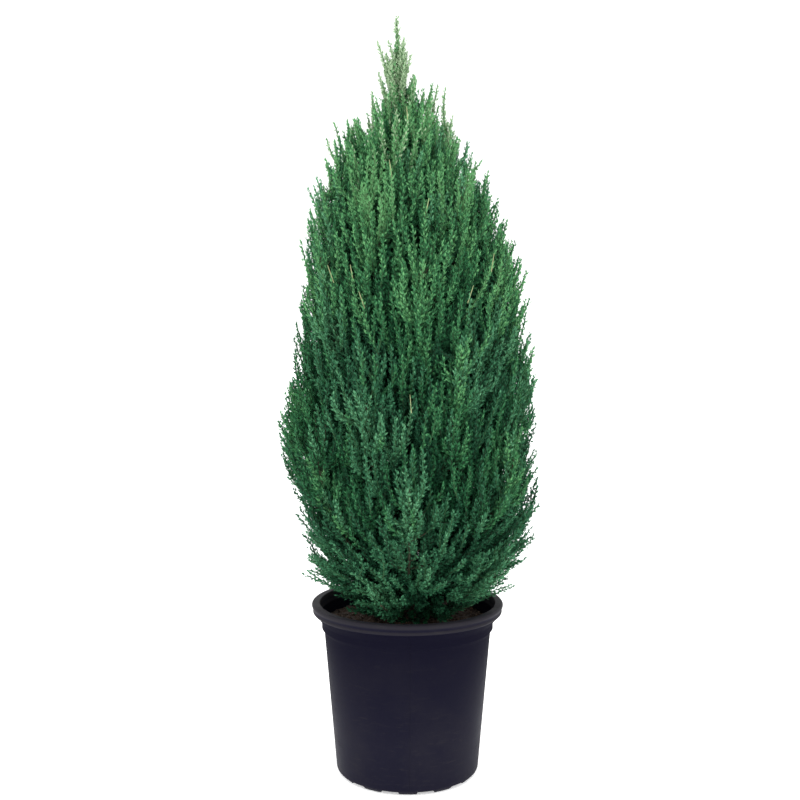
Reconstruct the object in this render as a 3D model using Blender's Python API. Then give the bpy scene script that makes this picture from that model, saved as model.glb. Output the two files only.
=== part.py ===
"""An upright juniper in a round nursery pot, in metres, with +Z up.

The origin is the middle of the pot's flat underside. The crown is seen from the front along +Y.
A straight trunk runs up from the soil. Tiers of limbs leave it, spread out and turn up, and each
ends in a plume of foliage that keeps to the space nearer to its own limb than to any other.
"""

import math
import random
from collections import namedtuple

import bmesh
import bpy
from mathutils import Vector
from mathutils.kdtree import KDTree

SEED = 11
CLEARANCE = 0.0003  # between pieces that touch
UP = Vector((0, 0, 1))
GOLDEN_ANGLE = math.pi * (3 - math.sqrt(5))

# The pot, a blow-moulded container of about 18 litres
POT_HEIGHT = 0.308
POT_SEGMENTS = 36
RIM_RADIUS = 0.1715
RIM_MOUTH_RADIUS = 0.157
RIM_DEPTH = 0.018
RIM_BEAD = 0.004
NECK_RADIUS = 0.1535
NECK_TOP = 0.274
NECK_BOTTOM = 0.2625
WALL_TOP_RADIUS = 0.149
WALL_TOP = 0.2555
WALL_FOOT_RADIUS = 0.1282
CORNER_HEIGHT = 0.011
FOOT_RADIUS = 0.1217
WALL = 0.0026
FEET = 12
FOOT_HEIGHT = 0.006  # how high the drain notches between the feet are
NOTCH_INNER_RADIUS = 0.099
FLOOR = 0.003
DRAIN_RADIUS = 0.005
DRAIN_CIRCLE = 0.1105
DRAIN_SIDES = 6
CUTTER_RUN = 0.008  # how far a cutter runs on past the wall

# The soil fills the pot to a finger's width below the rim
SOIL_TOP = 0.272
SOIL_EDGE = 0.270  # where it meets the pot
SOIL_GAP = 0.00036  # leaves the clearance square to the sloping wall
SOIL_MOUND = 0.004
MOUND_RADIUS = 0.05

# The trunk
TRUNK_FOOT = SOIL_TOP + SOIL_MOUND + CLEARANCE
TRUNK_TOP = 1.080
TRUNK_RADIUS = 0.0135
TRUNK_TIP_RADIUS = 0.003
TRUNK_SIDES = 10
TRUNK_RINGS = 17
FLARE = 0.009  # how far the root flare widens the foot
FLARE_HEIGHT = 0.022
FLARE_LOBES = 4
LOBE_DEPTH = 0.25
FOOT_CROWDING = 1.7  # above 1 the trunk's rings lie closer together near its foot
TRUNK_SWAY = 0.004
SWAY_TURNS = 0.75  # back and forth, from the foot to the tip
TIP_LEAN = -0.019  # the leader's tip lies this far left of the pot's middle
TRUNK_LEAN = 0.8 * TIP_LEAN

# The outline of the crown: its half-width at each height, and where its middle lies
CROWN_HEIGHTS = (0.283, 0.31, 0.345, 0.40, 0.47, 0.66, 0.76, 0.86, 0.95, 1.03, 1.10, 1.16, 1.22, 1.28, 1.343)
CROWN_RADII = (0.08, 0.125, 0.178, 0.21, 0.226, 0.23, 0.216, 0.206, 0.19, 0.17, 0.145, 0.11, 0.068, 0.034, 0.01)
CROWN_SHIFT_HEIGHTS = (0.28, 0.45, 0.62, 0.85, 1.05, 1.343)
CROWN_SHIFTS = (0.006, 0.013, 0.004, 0.008, -0.006, TIP_LEAN)

# The tiers of limbs, from the skirt to the leader. Heights and radii are metres, angles degrees.
# With a bough share of 0 the plume's stem grows from the trunk itself.
Tier = namedtuple("Tier", "name count angle attach span tip tip_span radius bough_share plume")
TIERS = (
    Tier("skirt", 5, 250, 0.292, 0.020, 0.415, 0.040, 0.196, 0.0, 0.080),
    Tier("lower", 7, 270, 0.325, 0.060, 0.590, 0.070, 0.218, 0.22, 0.105),
    Tier("middle", 7, 245, 0.410, 0.090, 0.775, 0.080, 0.212, 0.22, 0.105),
    Tier("shoulder", 6, 275, 0.540, 0.100, 0.945, 0.060, 0.184, 0.22, 0.100),
    Tier("upper", 6, 248, 0.690, 0.110, 1.085, 0.050, 0.146, 0.0, 0.090),
    Tier("top", 4, 265, 0.860, 0.090, 1.180, 0.070, 0.088, 0.0, 0.070),
)
LEADER_FOOT = TRUNK_TOP - 0.006  # inside the trunk's tip
LEADER = Tier("leader", 1, 0, LEADER_FOOT, 0.0, 1.340, 0.0, 0.120, 0.0, 0.055)
ANGLE_JITTER = 0.09
HEIGHT_JITTER = 0.012
SPREAD_JITTER = 0.045

# Limbs: where each first spreads to and then turns up, as shares of the way to its tip
SPREAD_OUT = 0.50
SPREAD_UP = 0.07
TURN_OUT = 0.93
TURN_UP = 0.46
BOUGH_RADIUS = 0.0062
BOUGH_TIP_RADIUS = 0.0040
BOUGH_SIDES = 6
BOUGH_RINGS = 5
STEM_RADIUS = 0.0036
STEM_TIP_RADIUS = 0.0010
STEM_SLENDERNESS = 0.019  # radius of a stem that grows from the trunk, as a share of the limb's spread
STEM_SIDES = 5
STEM_RINGS = 4
STEM_END = 0.5  # the share of the plume that the stem runs up inside its core
LIMB_SAMPLES = 40
TRUNK_SAMPLES = 160
FREE_OF_TRUNK = 0.02  # the share of a limb that lies inside the trunk

# Plumes: a slim core with peaks and hollows, and blades and toothed sprays that stand out of it
FOOT_FULLNESS = 0.5  # the plume's width at its foot, as a share of its widest
SWELL = 1.8
TIP_TAPER = 0.75
CORE_PEAK = 0.78  # how much of the space the peaks take
CORE_HOLLOW = 0.52
PEAK_ANGLE = math.radians(58)  # between a peak and the stem
CORE_SIDES = 6
CORE_RINGS = 4
CORE_LEAD = 0.35  # from the core's foot to its first ring, as a share of the rings' spacing
CORE_START = 0.06
CORE_START_AT_TRUNK = 0.15  # for a plume whose stem grows from the trunk
CORE_END = 0.92
SHOOTS = 10
FIRST_SHOOT = 0.06  # where along the stem the shoots leave it
LAST_SHOOT = 0.82
SHOOT_ANGLE = math.radians(30)
SHOOT_VARIETY = (0.8, 1.25)
SHOOT_LONGEST = 0.130
SHOOT_SHORTEST = 0.055
TWIG_EVERY = 4  # one shoot in this many is a twig with a spray, the others are blades
TWIG_RADIUS = 0.0019
TWIG_TAPER = 0.7
STALK = 0.45  # the share of a twig that is bare, most of it inside the core
TIP_STALK = 0.2
SPIRE_START = 0.76  # where along its limb the spire at the tip starts
SPRAY_WIDTH = 0.19  # half of it, as a share of the twig's length
SPRAY_THICKNESS = 0.07
SPRAY_MIDDLE = 0.3  # where along the spray it is thickest
SPRAY_TEETH = ((0.45, 1.0), (0.42, 0.30), (0.75, 0.75), (0.70, 0.22))  # along and across one side of it
BLADE_WIDTH = 0.24  # half a plain blade's width at its root, as a share of its length
BLADE_THICKNESS = 0.09
RIM_CLEARANCE = 0.007
SPACE_STEP = 0.004
SPACE_MARGIN = 0.0025
LIMB_CLEARANCE = 0.0065  # from the middle of any other limb
LEAST_SPRAY = 0.022
LEAST_WIDTH = 0.005

# Colours
POT_BLACK = (0.018, 0.017, 0.024, 1)
SOIL_BROWN = (0.030, 0.018, 0.011, 1)
BARK_BROWN = (0.120, 0.070, 0.045, 1)
NEEDLE_GREEN = (0.035, 0.130, 0.055, 1)


def clear_scene():
    for old in list(bpy.data.objects):
        bpy.data.objects.remove(old)


def material(name, colour, roughness):
    """A plain Principled material."""
    made = bpy.data.materials.new(name)
    made.use_nodes = True
    shader = made.node_tree.nodes["Principled BSDF"]
    shader.inputs["Base Color"].default_value = colour
    shader.inputs["Roughness"].default_value = roughness
    shader.inputs["Metallic"].default_value = 0.0
    made.diffuse_color = colour
    return made


def object_from(name, bm, surface, collection=None):
    """Makes one object from a bmesh, with its faces pointing out."""
    bmesh.ops.recalc_face_normals(bm, faces=bm.faces)
    if bm.calc_volume(signed=True) < 0:
        bmesh.ops.reverse_faces(bm, faces=bm.faces)
    mesh = bpy.data.meshes.new(name)
    bm.to_mesh(mesh)
    bm.free()
    if surface:
        mesh.materials.append(surface)
    made = bpy.data.objects.new(name, mesh)
    (collection or bpy.context.scene.collection).objects.link(made)
    return made


def turned(name, profile, surface):
    """Spins a closed profile of (radius, height) points about +Z. It is shaded smooth."""
    bm = bmesh.new()
    ring = [bm.verts.new((radius, 0, height)) for radius, height in profile]
    edges = [bm.edges.new(pair) for pair in zip(ring, ring[1:])]
    bmesh.ops.spin(
        bm, geom=ring + edges, axis=UP, cent=(0, 0, 0), angle=math.tau, steps=POT_SEGMENTS, use_merge=True
    )
    bmesh.ops.remove_doubles(bm, verts=bm.verts, dist=1e-6)
    made = object_from(name, bm, surface)
    made.data.shade_smooth()
    made.data.set_sharp_from_angle(angle=math.radians(35))
    return made


def lofted(rings, tip=None, foot=None):
    """A bmesh through rings of points, closed with a face or a point at each end."""
    bm = bmesh.new()
    loops = [[bm.verts.new(point) for point in ring] for ring in rings]
    sides = len(loops[0])
    for lower, upper in zip(loops, loops[1:]):
        for i in range(sides):
            j = (i + 1) % sides
            bm.faces.new((lower[i], lower[j], upper[j], upper[i]))
    for loop, point in ((loops[0], foot), (loops[-1], tip)):
        if point is None:
            bm.faces.new(loop)
            continue
        end = bm.verts.new(point)
        for i in range(sides):
            bm.faces.new((loop[i], loop[(i + 1) % sides], end))
    return bm


def interpolated(x, xs, ys):
    """ys read at x along straight lines between the given places."""
    if x <= xs[0]:
        return ys[0]
    for (x0, x1), (y0, y1) in zip(zip(xs, xs[1:]), zip(ys, ys[1:])):
        if x <= x1:
            return y0 + (y1 - y0) * (x - x0) / (x1 - x0)
    return ys[-1]


# Pot and soil


def pot_wall_radius(height):
    """The outside of the pot's plain tapered wall."""
    share = (height - CORNER_HEIGHT) / (WALL_TOP - CORNER_HEIGHT)
    return WALL_FOOT_RADIUS + (WALL_TOP_RADIUS - WALL_FOOT_RADIUS) * share


def neck_inside(height):
    """The inside of the pot between the top of its plain wall and the rim."""
    share = (height - WALL_TOP) / (NECK_TOP - WALL_TOP)
    return WALL_TOP_RADIUS + (NECK_RADIUS - WALL_TOP_RADIUS) * share - WALL


def build_pot(surface):
    """A thin tapered wall with a step, a neck and a rolled rim of two beads, on a floor with twelve feet."""
    gutter = FOOT_HEIGHT + FLOOR
    rim_foot = POT_HEIGHT - RIM_DEPTH
    groove = POT_HEIGHT - RIM_DEPTH / 2
    corner = math.radians(60)
    outside = [
        (0, 0),
        (FOOT_RADIUS, 0),
        (
            FOOT_RADIUS + (WALL_FOOT_RADIUS - FOOT_RADIUS) * math.sin(corner),
            CORNER_HEIGHT * (1 - math.cos(corner)),
        ),
        (WALL_FOOT_RADIUS, CORNER_HEIGHT),
        (WALL_TOP_RADIUS, WALL_TOP),
        (NECK_RADIUS, NECK_BOTTOM),
        (NECK_RADIUS, NECK_TOP),
        (RIM_RADIUS - RIM_BEAD * 1.5, rim_foot - RIM_BEAD / 4),
        (RIM_RADIUS - RIM_BEAD / 2, rim_foot + RIM_BEAD * 3 / 4),
        (RIM_RADIUS - RIM_BEAD * 2 / 3, groove - RIM_BEAD / 4),
        (RIM_RADIUS, groove + RIM_BEAD),
        (RIM_RADIUS - RIM_BEAD, POT_HEIGHT),
        (RIM_MOUTH_RADIUS, POT_HEIGHT - RIM_BEAD / 4),
    ]
    inside = [
        (NECK_RADIUS - WALL, NECK_TOP),
        (WALL_TOP_RADIUS - WALL, WALL_TOP),
        (pot_wall_radius(gutter) - WALL, gutter),
        (NOTCH_INNER_RADIUS - FLOOR, gutter),
        (NOTCH_INNER_RADIUS - 3 * FLOOR, FLOOR),
        (0, FLOOR),
    ]
    pot = turned("pot", outside + inside, surface)
    cutters = pot_cutters()
    cut = pot.modifiers.new("drain notches and holes", "BOOLEAN")
    cut.operation = "DIFFERENCE"
    cut.operand_type = "COLLECTION"
    cut.collection = cutters
    return apply_and_remove(pot, cutters)


def pot_cutters():
    """The wedges between the feet and the drain hole above each, in a collection."""
    cutters = bpy.data.collections.new("pot cutters")
    bpy.context.scene.collection.children.link(cutters)
    step = math.tau / FEET
    inner = NOTCH_INNER_RADIUS
    outer = WALL_FOOT_RADIUS + CUTTER_RUN
    for index in range(FEET):
        middle = (index + 0.5) * step
        angles = [middle - step / 4, middle, middle + step / 4]
        outline = [(inner * math.cos(a), inner * math.sin(a)) for a in angles]
        outline += [(outer * math.cos(a), outer * math.sin(a)) for a in reversed(angles)]
        rings = [[(x, y, z) for x, y in outline] for z in (-CUTTER_RUN, FOOT_HEIGHT)]
        object_from(f"notch {index}", lofted(rings), None, cutters)
        centre = Vector((DRAIN_CIRCLE * math.cos(middle), DRAIN_CIRCLE * math.sin(middle), 0))
        corners = [(i + 0.5) * math.tau / DRAIN_SIDES + middle for i in range(DRAIN_SIDES)]
        hole = [
            [centre + Vector((DRAIN_RADIUS * math.cos(a), DRAIN_RADIUS * math.sin(a), z)) for a in corners]
            for z in (FOOT_HEIGHT - FLOOR / 2, FOOT_HEIGHT + 2 * FLOOR)
        ]
        object_from(f"drain {index}", lofted(hole), None, cutters)
    return cutters


def build_soil(surface):
    """The soil, clear of the pot's inside all round, with a low mound under the trunk."""
    gutter = FOOT_HEIGHT + FLOOR + CLEARANCE
    inset = WALL + SOIL_GAP
    profile = [
        (0, FLOOR + CLEARANCE),
        (NOTCH_INNER_RADIUS - 3 * FLOOR - CLEARANCE, FLOOR + CLEARANCE),
        (NOTCH_INNER_RADIUS - FLOOR - CLEARANCE, gutter),
        (pot_wall_radius(gutter) - inset, gutter),
        (WALL_TOP_RADIUS - inset, WALL_TOP),
        (neck_inside(SOIL_EDGE) - SOIL_GAP, SOIL_EDGE),
        (MOUND_RADIUS * 2, SOIL_TOP),
        (MOUND_RADIUS, SOIL_TOP + SOIL_MOUND),
        (0, SOIL_TOP + SOIL_MOUND),
    ]
    return turned("soil", profile, surface)


# Trunk and limbs


def trunk_axis(height):
    """The trunk's middle: a slow sway that leans towards the leader's tip."""
    share = (height - TRUNK_FOOT) / (TRUNK_TOP - TRUNK_FOOT)
    lean = TRUNK_LEAN * share**2
    return Vector((
        lean + TRUNK_SWAY * math.sin(math.tau * share),
        TRUNK_SWAY * math.sin(SWAY_TURNS * math.tau * share),
        height,
    ))


def trunk_ring(height, extra=0.0):
    """One ring of the trunk: a taper, and lobes of root flare at the foot."""
    share = (height - TRUNK_FOOT) / (TRUNK_TOP - TRUNK_FOOT)
    radius = TRUNK_RADIUS + (TRUNK_TIP_RADIUS - TRUNK_RADIUS) * share + extra
    flare = FLARE * math.exp(-(height - TRUNK_FOOT) / FLARE_HEIGHT)
    middle = trunk_axis(height)
    ring = []
    for i in range(TRUNK_SIDES):
        angle = math.tau * i / TRUNK_SIDES
        reach = radius + flare * (1 - LOBE_DEPTH + LOBE_DEPTH * math.cos(FLARE_LOBES * angle))
        ring.append(middle + Vector((reach * math.cos(angle), reach * math.sin(angle), 0)))
    return ring


def trunk_rings(extra=0.0):
    """Rings that lie closer together near the foot."""
    shares = [(i / (TRUNK_RINGS - 1)) ** FOOT_CROWDING for i in range(TRUNK_RINGS)]
    return [trunk_ring(TRUNK_FOOT + (TRUNK_TOP - TRUNK_FOOT) * s, extra) for s in shares]


class Limb:
    """One limb's path from the trunk to its plume's tip, a cubic curve that spreads and then turns up."""

    def __init__(self, name, index, tier, attach, tip):
        self.name = name
        self.index = index
        self.tier = tier
        self.rng = random.Random(SEED * 1000 + index)
        start = trunk_axis(attach)
        outward = Vector((tip.x - start.x, tip.y - start.y, 0))
        rise = tip.z - start.z
        self.outward = outward.normalized() if outward.length > STEM_RADIUS * 4 else Vector((0, -1, 0))
        self.controls = (
            start,
            start + outward * SPREAD_OUT + UP * rise * SPREAD_UP,
            start + outward * TURN_OUT + UP * rise * TURN_UP,
            tip,
        )

    def at(self, t):
        a, b, c, d = self.controls
        s = 1 - t
        return a * s**3 + b * (3 * s * s * t) + c * (3 * s * t * t) + d * t**3

    def along(self, t):
        a, b, c, d = self.controls
        s = 1 - t
        return ((b - a) * s * s + (c - b) * (2 * s * t) + (d - c) * t * t).normalized()

    def frame(self, t):
        """(along, outward, across) at t, where outward is square to along on the side away from the trunk."""
        along = self.along(t)
        outward = (self.outward - along * self.outward.dot(along)).normalized()
        return along, outward, along.cross(outward)

    def ring(self, t, radius, sides):
        along, outward, across = self.frame(t)
        centre = self.at(t)
        angles = [math.tau * i / sides for i in range(sides)]
        return [centre + outward * radius * math.cos(a) + across * radius * math.sin(a) for a in angles]


def crown_shift(height):
    return interpolated(height, CROWN_SHIFT_HEIGHTS, CROWN_SHIFTS)


def plan_limbs():
    """Every limb. Round a tier, neighbours leave the trunk at well separated heights."""
    limbs = []
    for tier in TIERS:
        rng = random.Random(SEED + len(limbs))
        for k in range(tier.count):
            order = (k // 2 + k % 2 * ((tier.count + 1) // 2)) / tier.count
            attach = tier.attach + tier.span * order
            angle = math.radians(tier.angle) + math.tau * k / tier.count
            angle += rng.uniform(-ANGLE_JITTER, ANGLE_JITTER)
            height = tier.tip + tier.tip_span * (order - 0.5) + rng.uniform(-HEIGHT_JITTER, HEIGHT_JITTER)
            radius = tier.radius * rng.uniform(1 - SPREAD_JITTER, 1 + SPREAD_JITTER)
            tip = Vector((
                crown_shift(height) + radius * math.cos(angle),
                radius * math.sin(angle),
                height,
            ))
            limbs.append(Limb(f"{tier.name}_{k + 1}", len(limbs), tier, attach, tip))
    tip = Vector((TIP_LEAN, trunk_axis(TRUNK_TOP).y, LEADER.tip))
    limbs.append(Limb("leader", len(limbs), LEADER, LEADER.attach, tip))
    return limbs


class Spaces:
    """The space of each limb: the points nearer to it than to the others or the trunk, inside the crown."""

    def __init__(self, limbs):
        self.owners = []
        points = []
        for limb in limbs:
            for i in range(LIMB_SAMPLES):
                t = FREE_OF_TRUNK + (1 - FREE_OF_TRUNK) * i / (LIMB_SAMPLES - 1)
                points.append(limb.at(t))
                self.owners.append(limb.index)
        for i in range(TRUNK_SAMPLES):
            points.append(trunk_axis(TRUNK_FOOT + (TRUNK_TOP - TRUNK_FOOT) * i / TRUNK_SAMPLES))
            self.owners.append(None)
        self.tree = KDTree(len(points))
        for i, point in enumerate(points):
            self.tree.insert(point, i)
        self.tree.balance()

    def owner(self, point):
        return self.owners[self.tree.find(point)[1]]

    def holds(self, limb, point):
        """True if the point lies in the limb's space, clear of its edges, the crown's outline and the pot."""
        if not inside_crown(point) or not clear_of_pot(point):
            return False
        nearest = self.tree.find(point)
        if self.owners[nearest[1]] != limb.index:
            return False
        if any(self.owners[i] != limb.index for _, i, _ in self.tree.find_range(point, LIMB_CLEARANCE)):
            return False
        away = point - nearest[0]
        beyond = point + away.normalized() * SPACE_MARGIN if away.length > 1e-6 else point
        return self.owner(beyond) == limb.index


def inside_crown(point):
    reach = interpolated(point.z, CROWN_HEIGHTS, CROWN_RADII)
    middle = crown_shift(point.z)
    return math.hypot(point.x - middle, point.y) <= reach and CROWN_HEIGHTS[0] <= point.z <= CROWN_HEIGHTS[-1]


def clear_of_pot(point):
    """Above the rim, or inside the mouth below it."""
    above = point.z > POT_HEIGHT + RIM_CLEARANCE
    return above or math.hypot(point.x, point.y) < RIM_MOUTH_RADIUS - RIM_CLEARANCE


def build_trunk(surface):
    trunk = object_from("trunk", lofted(trunk_rings()), surface)
    trunk.data.shade_smooth()
    return trunk


def trunk_clearance():
    """The trunk, fatter by the clearance all round, to cut limbs clear of it."""
    return object_from("trunk clearance", lofted(trunk_rings(CLEARANCE)), None)


def bough_radius(limb, t):
    share = t / limb.tier.bough_share
    return BOUGH_RADIUS + (BOUGH_TIP_RADIUS - BOUGH_RADIUS) * share


def build_bough(limb, surface, cutter):
    """One tapering limb from the trunk to where its plume starts."""
    places = [limb.tier.bough_share * i / (BOUGH_RINGS - 1) for i in range(BOUGH_RINGS)]
    rings = [limb.ring(t, bough_radius(limb, t), BOUGH_SIDES) for t in places]
    bough = object_from(f"bough_{limb.name}", lofted(rings), surface)
    bough.data.shade_smooth()
    return cut_clear(bough, cutter)


# Plumes


def stem_radius(limb, share):
    """The stem carries on from its bough's tip, or is as thick as its limb's spread asks for."""
    foot = STEM_RADIUS if limb.tier.bough_share else max(STEM_TIP_RADIUS, STEM_SLENDERNESS * limb.tier.radius)
    return foot + (STEM_TIP_RADIUS - foot) * share


def stem_start(limb):
    """Where the plume's stem starts along its limb: clear of the bough's end, or inside the trunk."""
    if not limb.tier.bough_share:
        return 0.0
    length = (limb.at(limb.tier.bough_share + 0.01) - limb.at(limb.tier.bough_share)).length / 0.01
    return limb.tier.bough_share + CLEARANCE / length


def reach_in_space(spaces, limb, origin, direction, longest):
    """How far the limb's space runs from origin along direction, up to longest."""
    reach = 0.0
    while reach + SPACE_STEP <= longest and spaces.holds(limb, origin + direction * (reach + SPACE_STEP)):
        reach += SPACE_STEP
    return reach


def plume_width(limb, share):
    """The plume swells from its foot, is fullest near its middle and narrows to its tip."""
    return limb.tier.plume * min(1.0, FOOT_FULLNESS + SWELL * share) * (1 - TIP_TAPER * share**2)


def build_stem(limb, start, collection):
    """The plume's stem, from its foot to the middle of its core."""
    shares = [STEM_END * i / STEM_RINGS for i in range(STEM_RINGS)]
    rings = [limb.ring(start + (1 - start) * s, stem_radius(limb, s), STEM_SIDES) for s in shares]
    tip = limb.at(start + (1 - start) * STEM_END)
    return object_from(f"plume_{limb.name}", lofted(rings, tip=tip), None, collection)


def build_core(limb, start, spaces, collection):
    """The dense inside of a plume, with forward peaks and hollows by turns, inside the space round the stem."""
    first = CORE_START if limb.tier.bough_share else CORE_START_AT_TRUNK
    rings = []
    for i in range(CORE_RINGS):
        share = first + (CORE_END - first) * (i + CORE_LEAD) / CORE_RINGS
        t = start + (1 - start) * share
        along, outward, across = limb.frame(t)
        centre = limb.at(t)
        width = plume_width(limb, share)
        ring = []
        for k in range(CORE_SIDES):
            angle = math.tau * k / CORE_SIDES
            direction = outward * math.cos(angle) + across * math.sin(angle)
            part = CORE_HOLLOW
            if (k + i) % 2:
                direction = direction * math.sin(PEAK_ANGLE) + along * math.cos(PEAK_ANGLE)
                part = CORE_PEAK
            reach = reach_in_space(spaces, limb, centre, direction, width) * part
            ring.append(centre + direction * max(reach, stem_radius(limb, share)))
        rings.append(ring)
    foot = limb.at(start + (1 - start) * first)
    tip = limb.at(start + (1 - start) * CORE_END)
    object_from("core", lofted(rings, tip=tip, foot=foot), None, collection)


def build_twig(root, tip, facing, width, stalk, collection):
    """A three-sided twig that widens into a spray of needles with two teeth a side, thicker along its middle.

    width is half the spray's, and stalk is the share of the length that is bare twig.
    """
    along = tip - root
    length = along.length
    along = along / length
    normal = (facing - along * facing.dot(along)).normalized()
    side = along.cross(normal)
    bm = bmesh.new()
    rings = []
    arms = [normal * math.cos(a) + side * math.sin(a) for a in (0, math.tau / 3, 2 * math.tau / 3)]
    for share, radius in ((0.0, TWIG_RADIUS), (stalk, TWIG_RADIUS * TWIG_TAPER)):
        centre = root + along * (length * share)
        rings.append([bm.verts.new(centre + arm * radius) for arm in arms])
    foot, neck = rings
    bm.faces.new(foot)
    for i in range(3):
        j = (i + 1) % 3
        bm.faces.new((foot[i], foot[j], neck[j], neck[i]))
    places = [(stalk + (1 - stalk) * x, y * width) for x, y in SPRAY_TEETH]
    right = [bm.verts.new(root + along * (length * x) + side * y) for x, y in places]
    left = [bm.verts.new(root + along * (length * x) - side * y) for x, y in reversed(places)]
    loop = [neck[1], *right, bm.verts.new(tip), *left, neck[2]]
    middle = root + along * (length * (stalk + (1 - stalk) * SPRAY_MIDDLE))
    lift = normal * (SPRAY_THICKNESS * length / 2)
    above = bm.verts.new(middle + lift)
    below = bm.verts.new(middle - lift)
    for a, b in zip(loop, loop[1:]):
        bm.faces.new((a, b, above))
        bm.faces.new((a, b, below))
    bm.faces.new((neck[2], neck[0], above))
    bm.faces.new((neck[0], neck[1], above))
    bm.faces.new((neck[1], neck[2], below))
    object_from("twig", bm, None, collection)


def build_blade(root, tip, facing, width, collection):
    """A plain pointed blade with three long faces, flat across and raised along its middle."""
    along = tip - root
    side = along.cross(facing).normalized()
    lift = side.cross(along).normalized() * (BLADE_THICKNESS * along.length)
    base = [root + side * width, root - side * width, root + lift]
    object_from("blade", lofted([base], tip=tip), None, collection)


def half_width(spaces, limb, root, tip, facing, place, share):
    """Half the width of a blade or spray: a share of its length, as far as its space allows at the place."""
    side = (tip - root).cross(facing).normalized()
    centre = root.lerp(tip, place)
    widest = share * (tip - root).length
    return min(reach_in_space(spaces, limb, centre, side * sign, widest) for sign in (1, -1))


def grow_shoots(limb, start, spaces, collection):
    """Blades and twigs round the stem at the golden angle, each as long as the plume's space allows."""
    rng = limb.rng
    for k in range(SHOOTS):
        share = FIRST_SHOOT + (LAST_SHOOT - FIRST_SHOOT) * k / (SHOOTS - 1)
        t = start + (1 - start) * share
        along, outward, across = limb.frame(t)
        angle = k * GOLDEN_ANGLE + limb.index
        radial = outward * math.cos(angle) + across * math.sin(angle)
        tilt = SHOOT_ANGLE * rng.uniform(*SHOOT_VARIETY)
        direction = along * math.cos(tilt) + radial * math.sin(tilt)
        root = limb.at(t)
        longest = SHOOT_LONGEST + (SHOOT_SHORTEST - SHOOT_LONGEST) * share
        length = reach_in_space(spaces, limb, root, direction, longest)
        if length < LEAST_SPRAY:
            continue
        tip = root + direction * length
        facing = radial if k % 2 else along.cross(radial)
        if k % TWIG_EVERY == 2:
            place = STALK + (1 - STALK) * SPRAY_TEETH[0][0]
            width = half_width(spaces, limb, root, tip, facing, place, SPRAY_WIDTH)
            if width > LEAST_WIDTH:
                build_twig(root, tip, facing, width, STALK, collection)
                continue
        width = min(
            half_width(spaces, limb, root, tip, facing, 0.0, BLADE_WIDTH),
            half_width(spaces, limb, root, tip, facing, 0.5, BLADE_WIDTH / 2) * 2,
        )
        if width > LEAST_WIDTH:
            build_blade(root, tip, facing, width, collection)


def grow_tip(limb, spaces, collection):
    """The spire at the plume's end: a long spray along the stem, which reaches the crown's outline."""
    _, outward, across = limb.frame(SPIRE_START)
    root = limb.at(SPIRE_START)
    tip = limb.at(1.0)
    facing = across if limb.index % 2 else outward
    place = TIP_STALK + (1 - TIP_STALK) * SPRAY_TEETH[0][0]
    width = half_width(spaces, limb, root, tip, facing, place, SPRAY_WIDTH)
    build_twig(root, tip, facing, max(width, LEAST_WIDTH), TIP_STALK, collection)


def build_plume(limb, spaces, surface, cutter):
    """One plume: stem, core, twigs and sprays, joined by one Boolean union and cut clear of the trunk."""
    pieces = bpy.data.collections.new(f"pieces of {limb.name}")
    bpy.context.scene.collection.children.link(pieces)
    start = stem_start(limb)
    plume = build_stem(limb, start, None)
    plume.data.materials.append(surface)
    build_core(limb, start, spaces, pieces)
    grow_shoots(limb, start, spaces, pieces)
    grow_tip(limb, spaces, pieces)
    union = plume.modifiers.new("one body", "BOOLEAN")
    union.operation = "UNION"
    union.operand_type = "COLLECTION"
    union.collection = pieces
    union.solver = "MANIFOLD"  # the exact solver leaves open edges in some of the plumes, and below too
    apply_and_remove(plume, pieces)
    if not limb.tier.bough_share:
        cut_clear(plume, cutter, "MANIFOLD")
    keep_largest(plume)
    return plume


# Applying modifiers


def apply_modifiers(made):
    """Replaces the object's mesh with its evaluated one."""
    bpy.context.view_layer.update()
    graph = bpy.context.evaluated_depsgraph_get()
    mesh = bpy.data.meshes.new_from_object(made.evaluated_get(graph))
    old = made.data
    made.modifiers.clear()
    made.data = mesh
    mesh.name = made.name
    bpy.data.meshes.remove(old)
    return made


def apply_and_remove(made, collection):
    """Applies the object's modifiers, then removes the collection that they used."""
    apply_modifiers(made)
    for piece in list(collection.objects):
        bpy.data.objects.remove(piece)
    bpy.data.collections.remove(collection)
    return made


def cut_clear(made, cutter, solver="EXACT"):
    """Cuts the object where it would meet the cutter."""
    cut = made.modifiers.new("clear of the trunk", "BOOLEAN")
    cut.operation = "DIFFERENCE"
    cut.solver = solver
    cut.object = cutter
    return apply_modifiers(made)


def keep_largest(made):
    """Drops loose scraps and sealed hollows, which are separate shells, and keeps the largest shell."""
    bm = bmesh.new()
    bm.from_mesh(made.data)
    left = set(bm.verts)
    shells = []
    while left:
        shell = {left.pop()}
        front = set(shell)
        while front:
            front = {e.other_vert(v) for v in front for e in v.link_edges} & left
            left -= front
            shell |= front
        shells.append(shell)
    largest = max(shells, key=len)
    bmesh.ops.delete(bm, geom=[v for v in bm.verts if v not in largest], context="VERTS")
    bm.to_mesh(made.data)
    bm.free()


def main():
    clear_scene()
    black = material("pot plastic", POT_BLACK, 0.45)
    brown = material("soil", SOIL_BROWN, 0.95)
    bark = material("bark", BARK_BROWN, 0.85)
    green = material("needles", NEEDLE_GREEN, 0.6)
    build_pot(black)
    build_soil(brown)
    build_trunk(bark)
    cutter = trunk_clearance()
    limbs = plan_limbs()
    spaces = Spaces(limbs)
    for limb in limbs:
        if limb.tier.bough_share:
            build_bough(limb, bark, cutter)
        build_plume(limb, spaces, green, cutter)
    bpy.data.objects.remove(cutter)


main()
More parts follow.
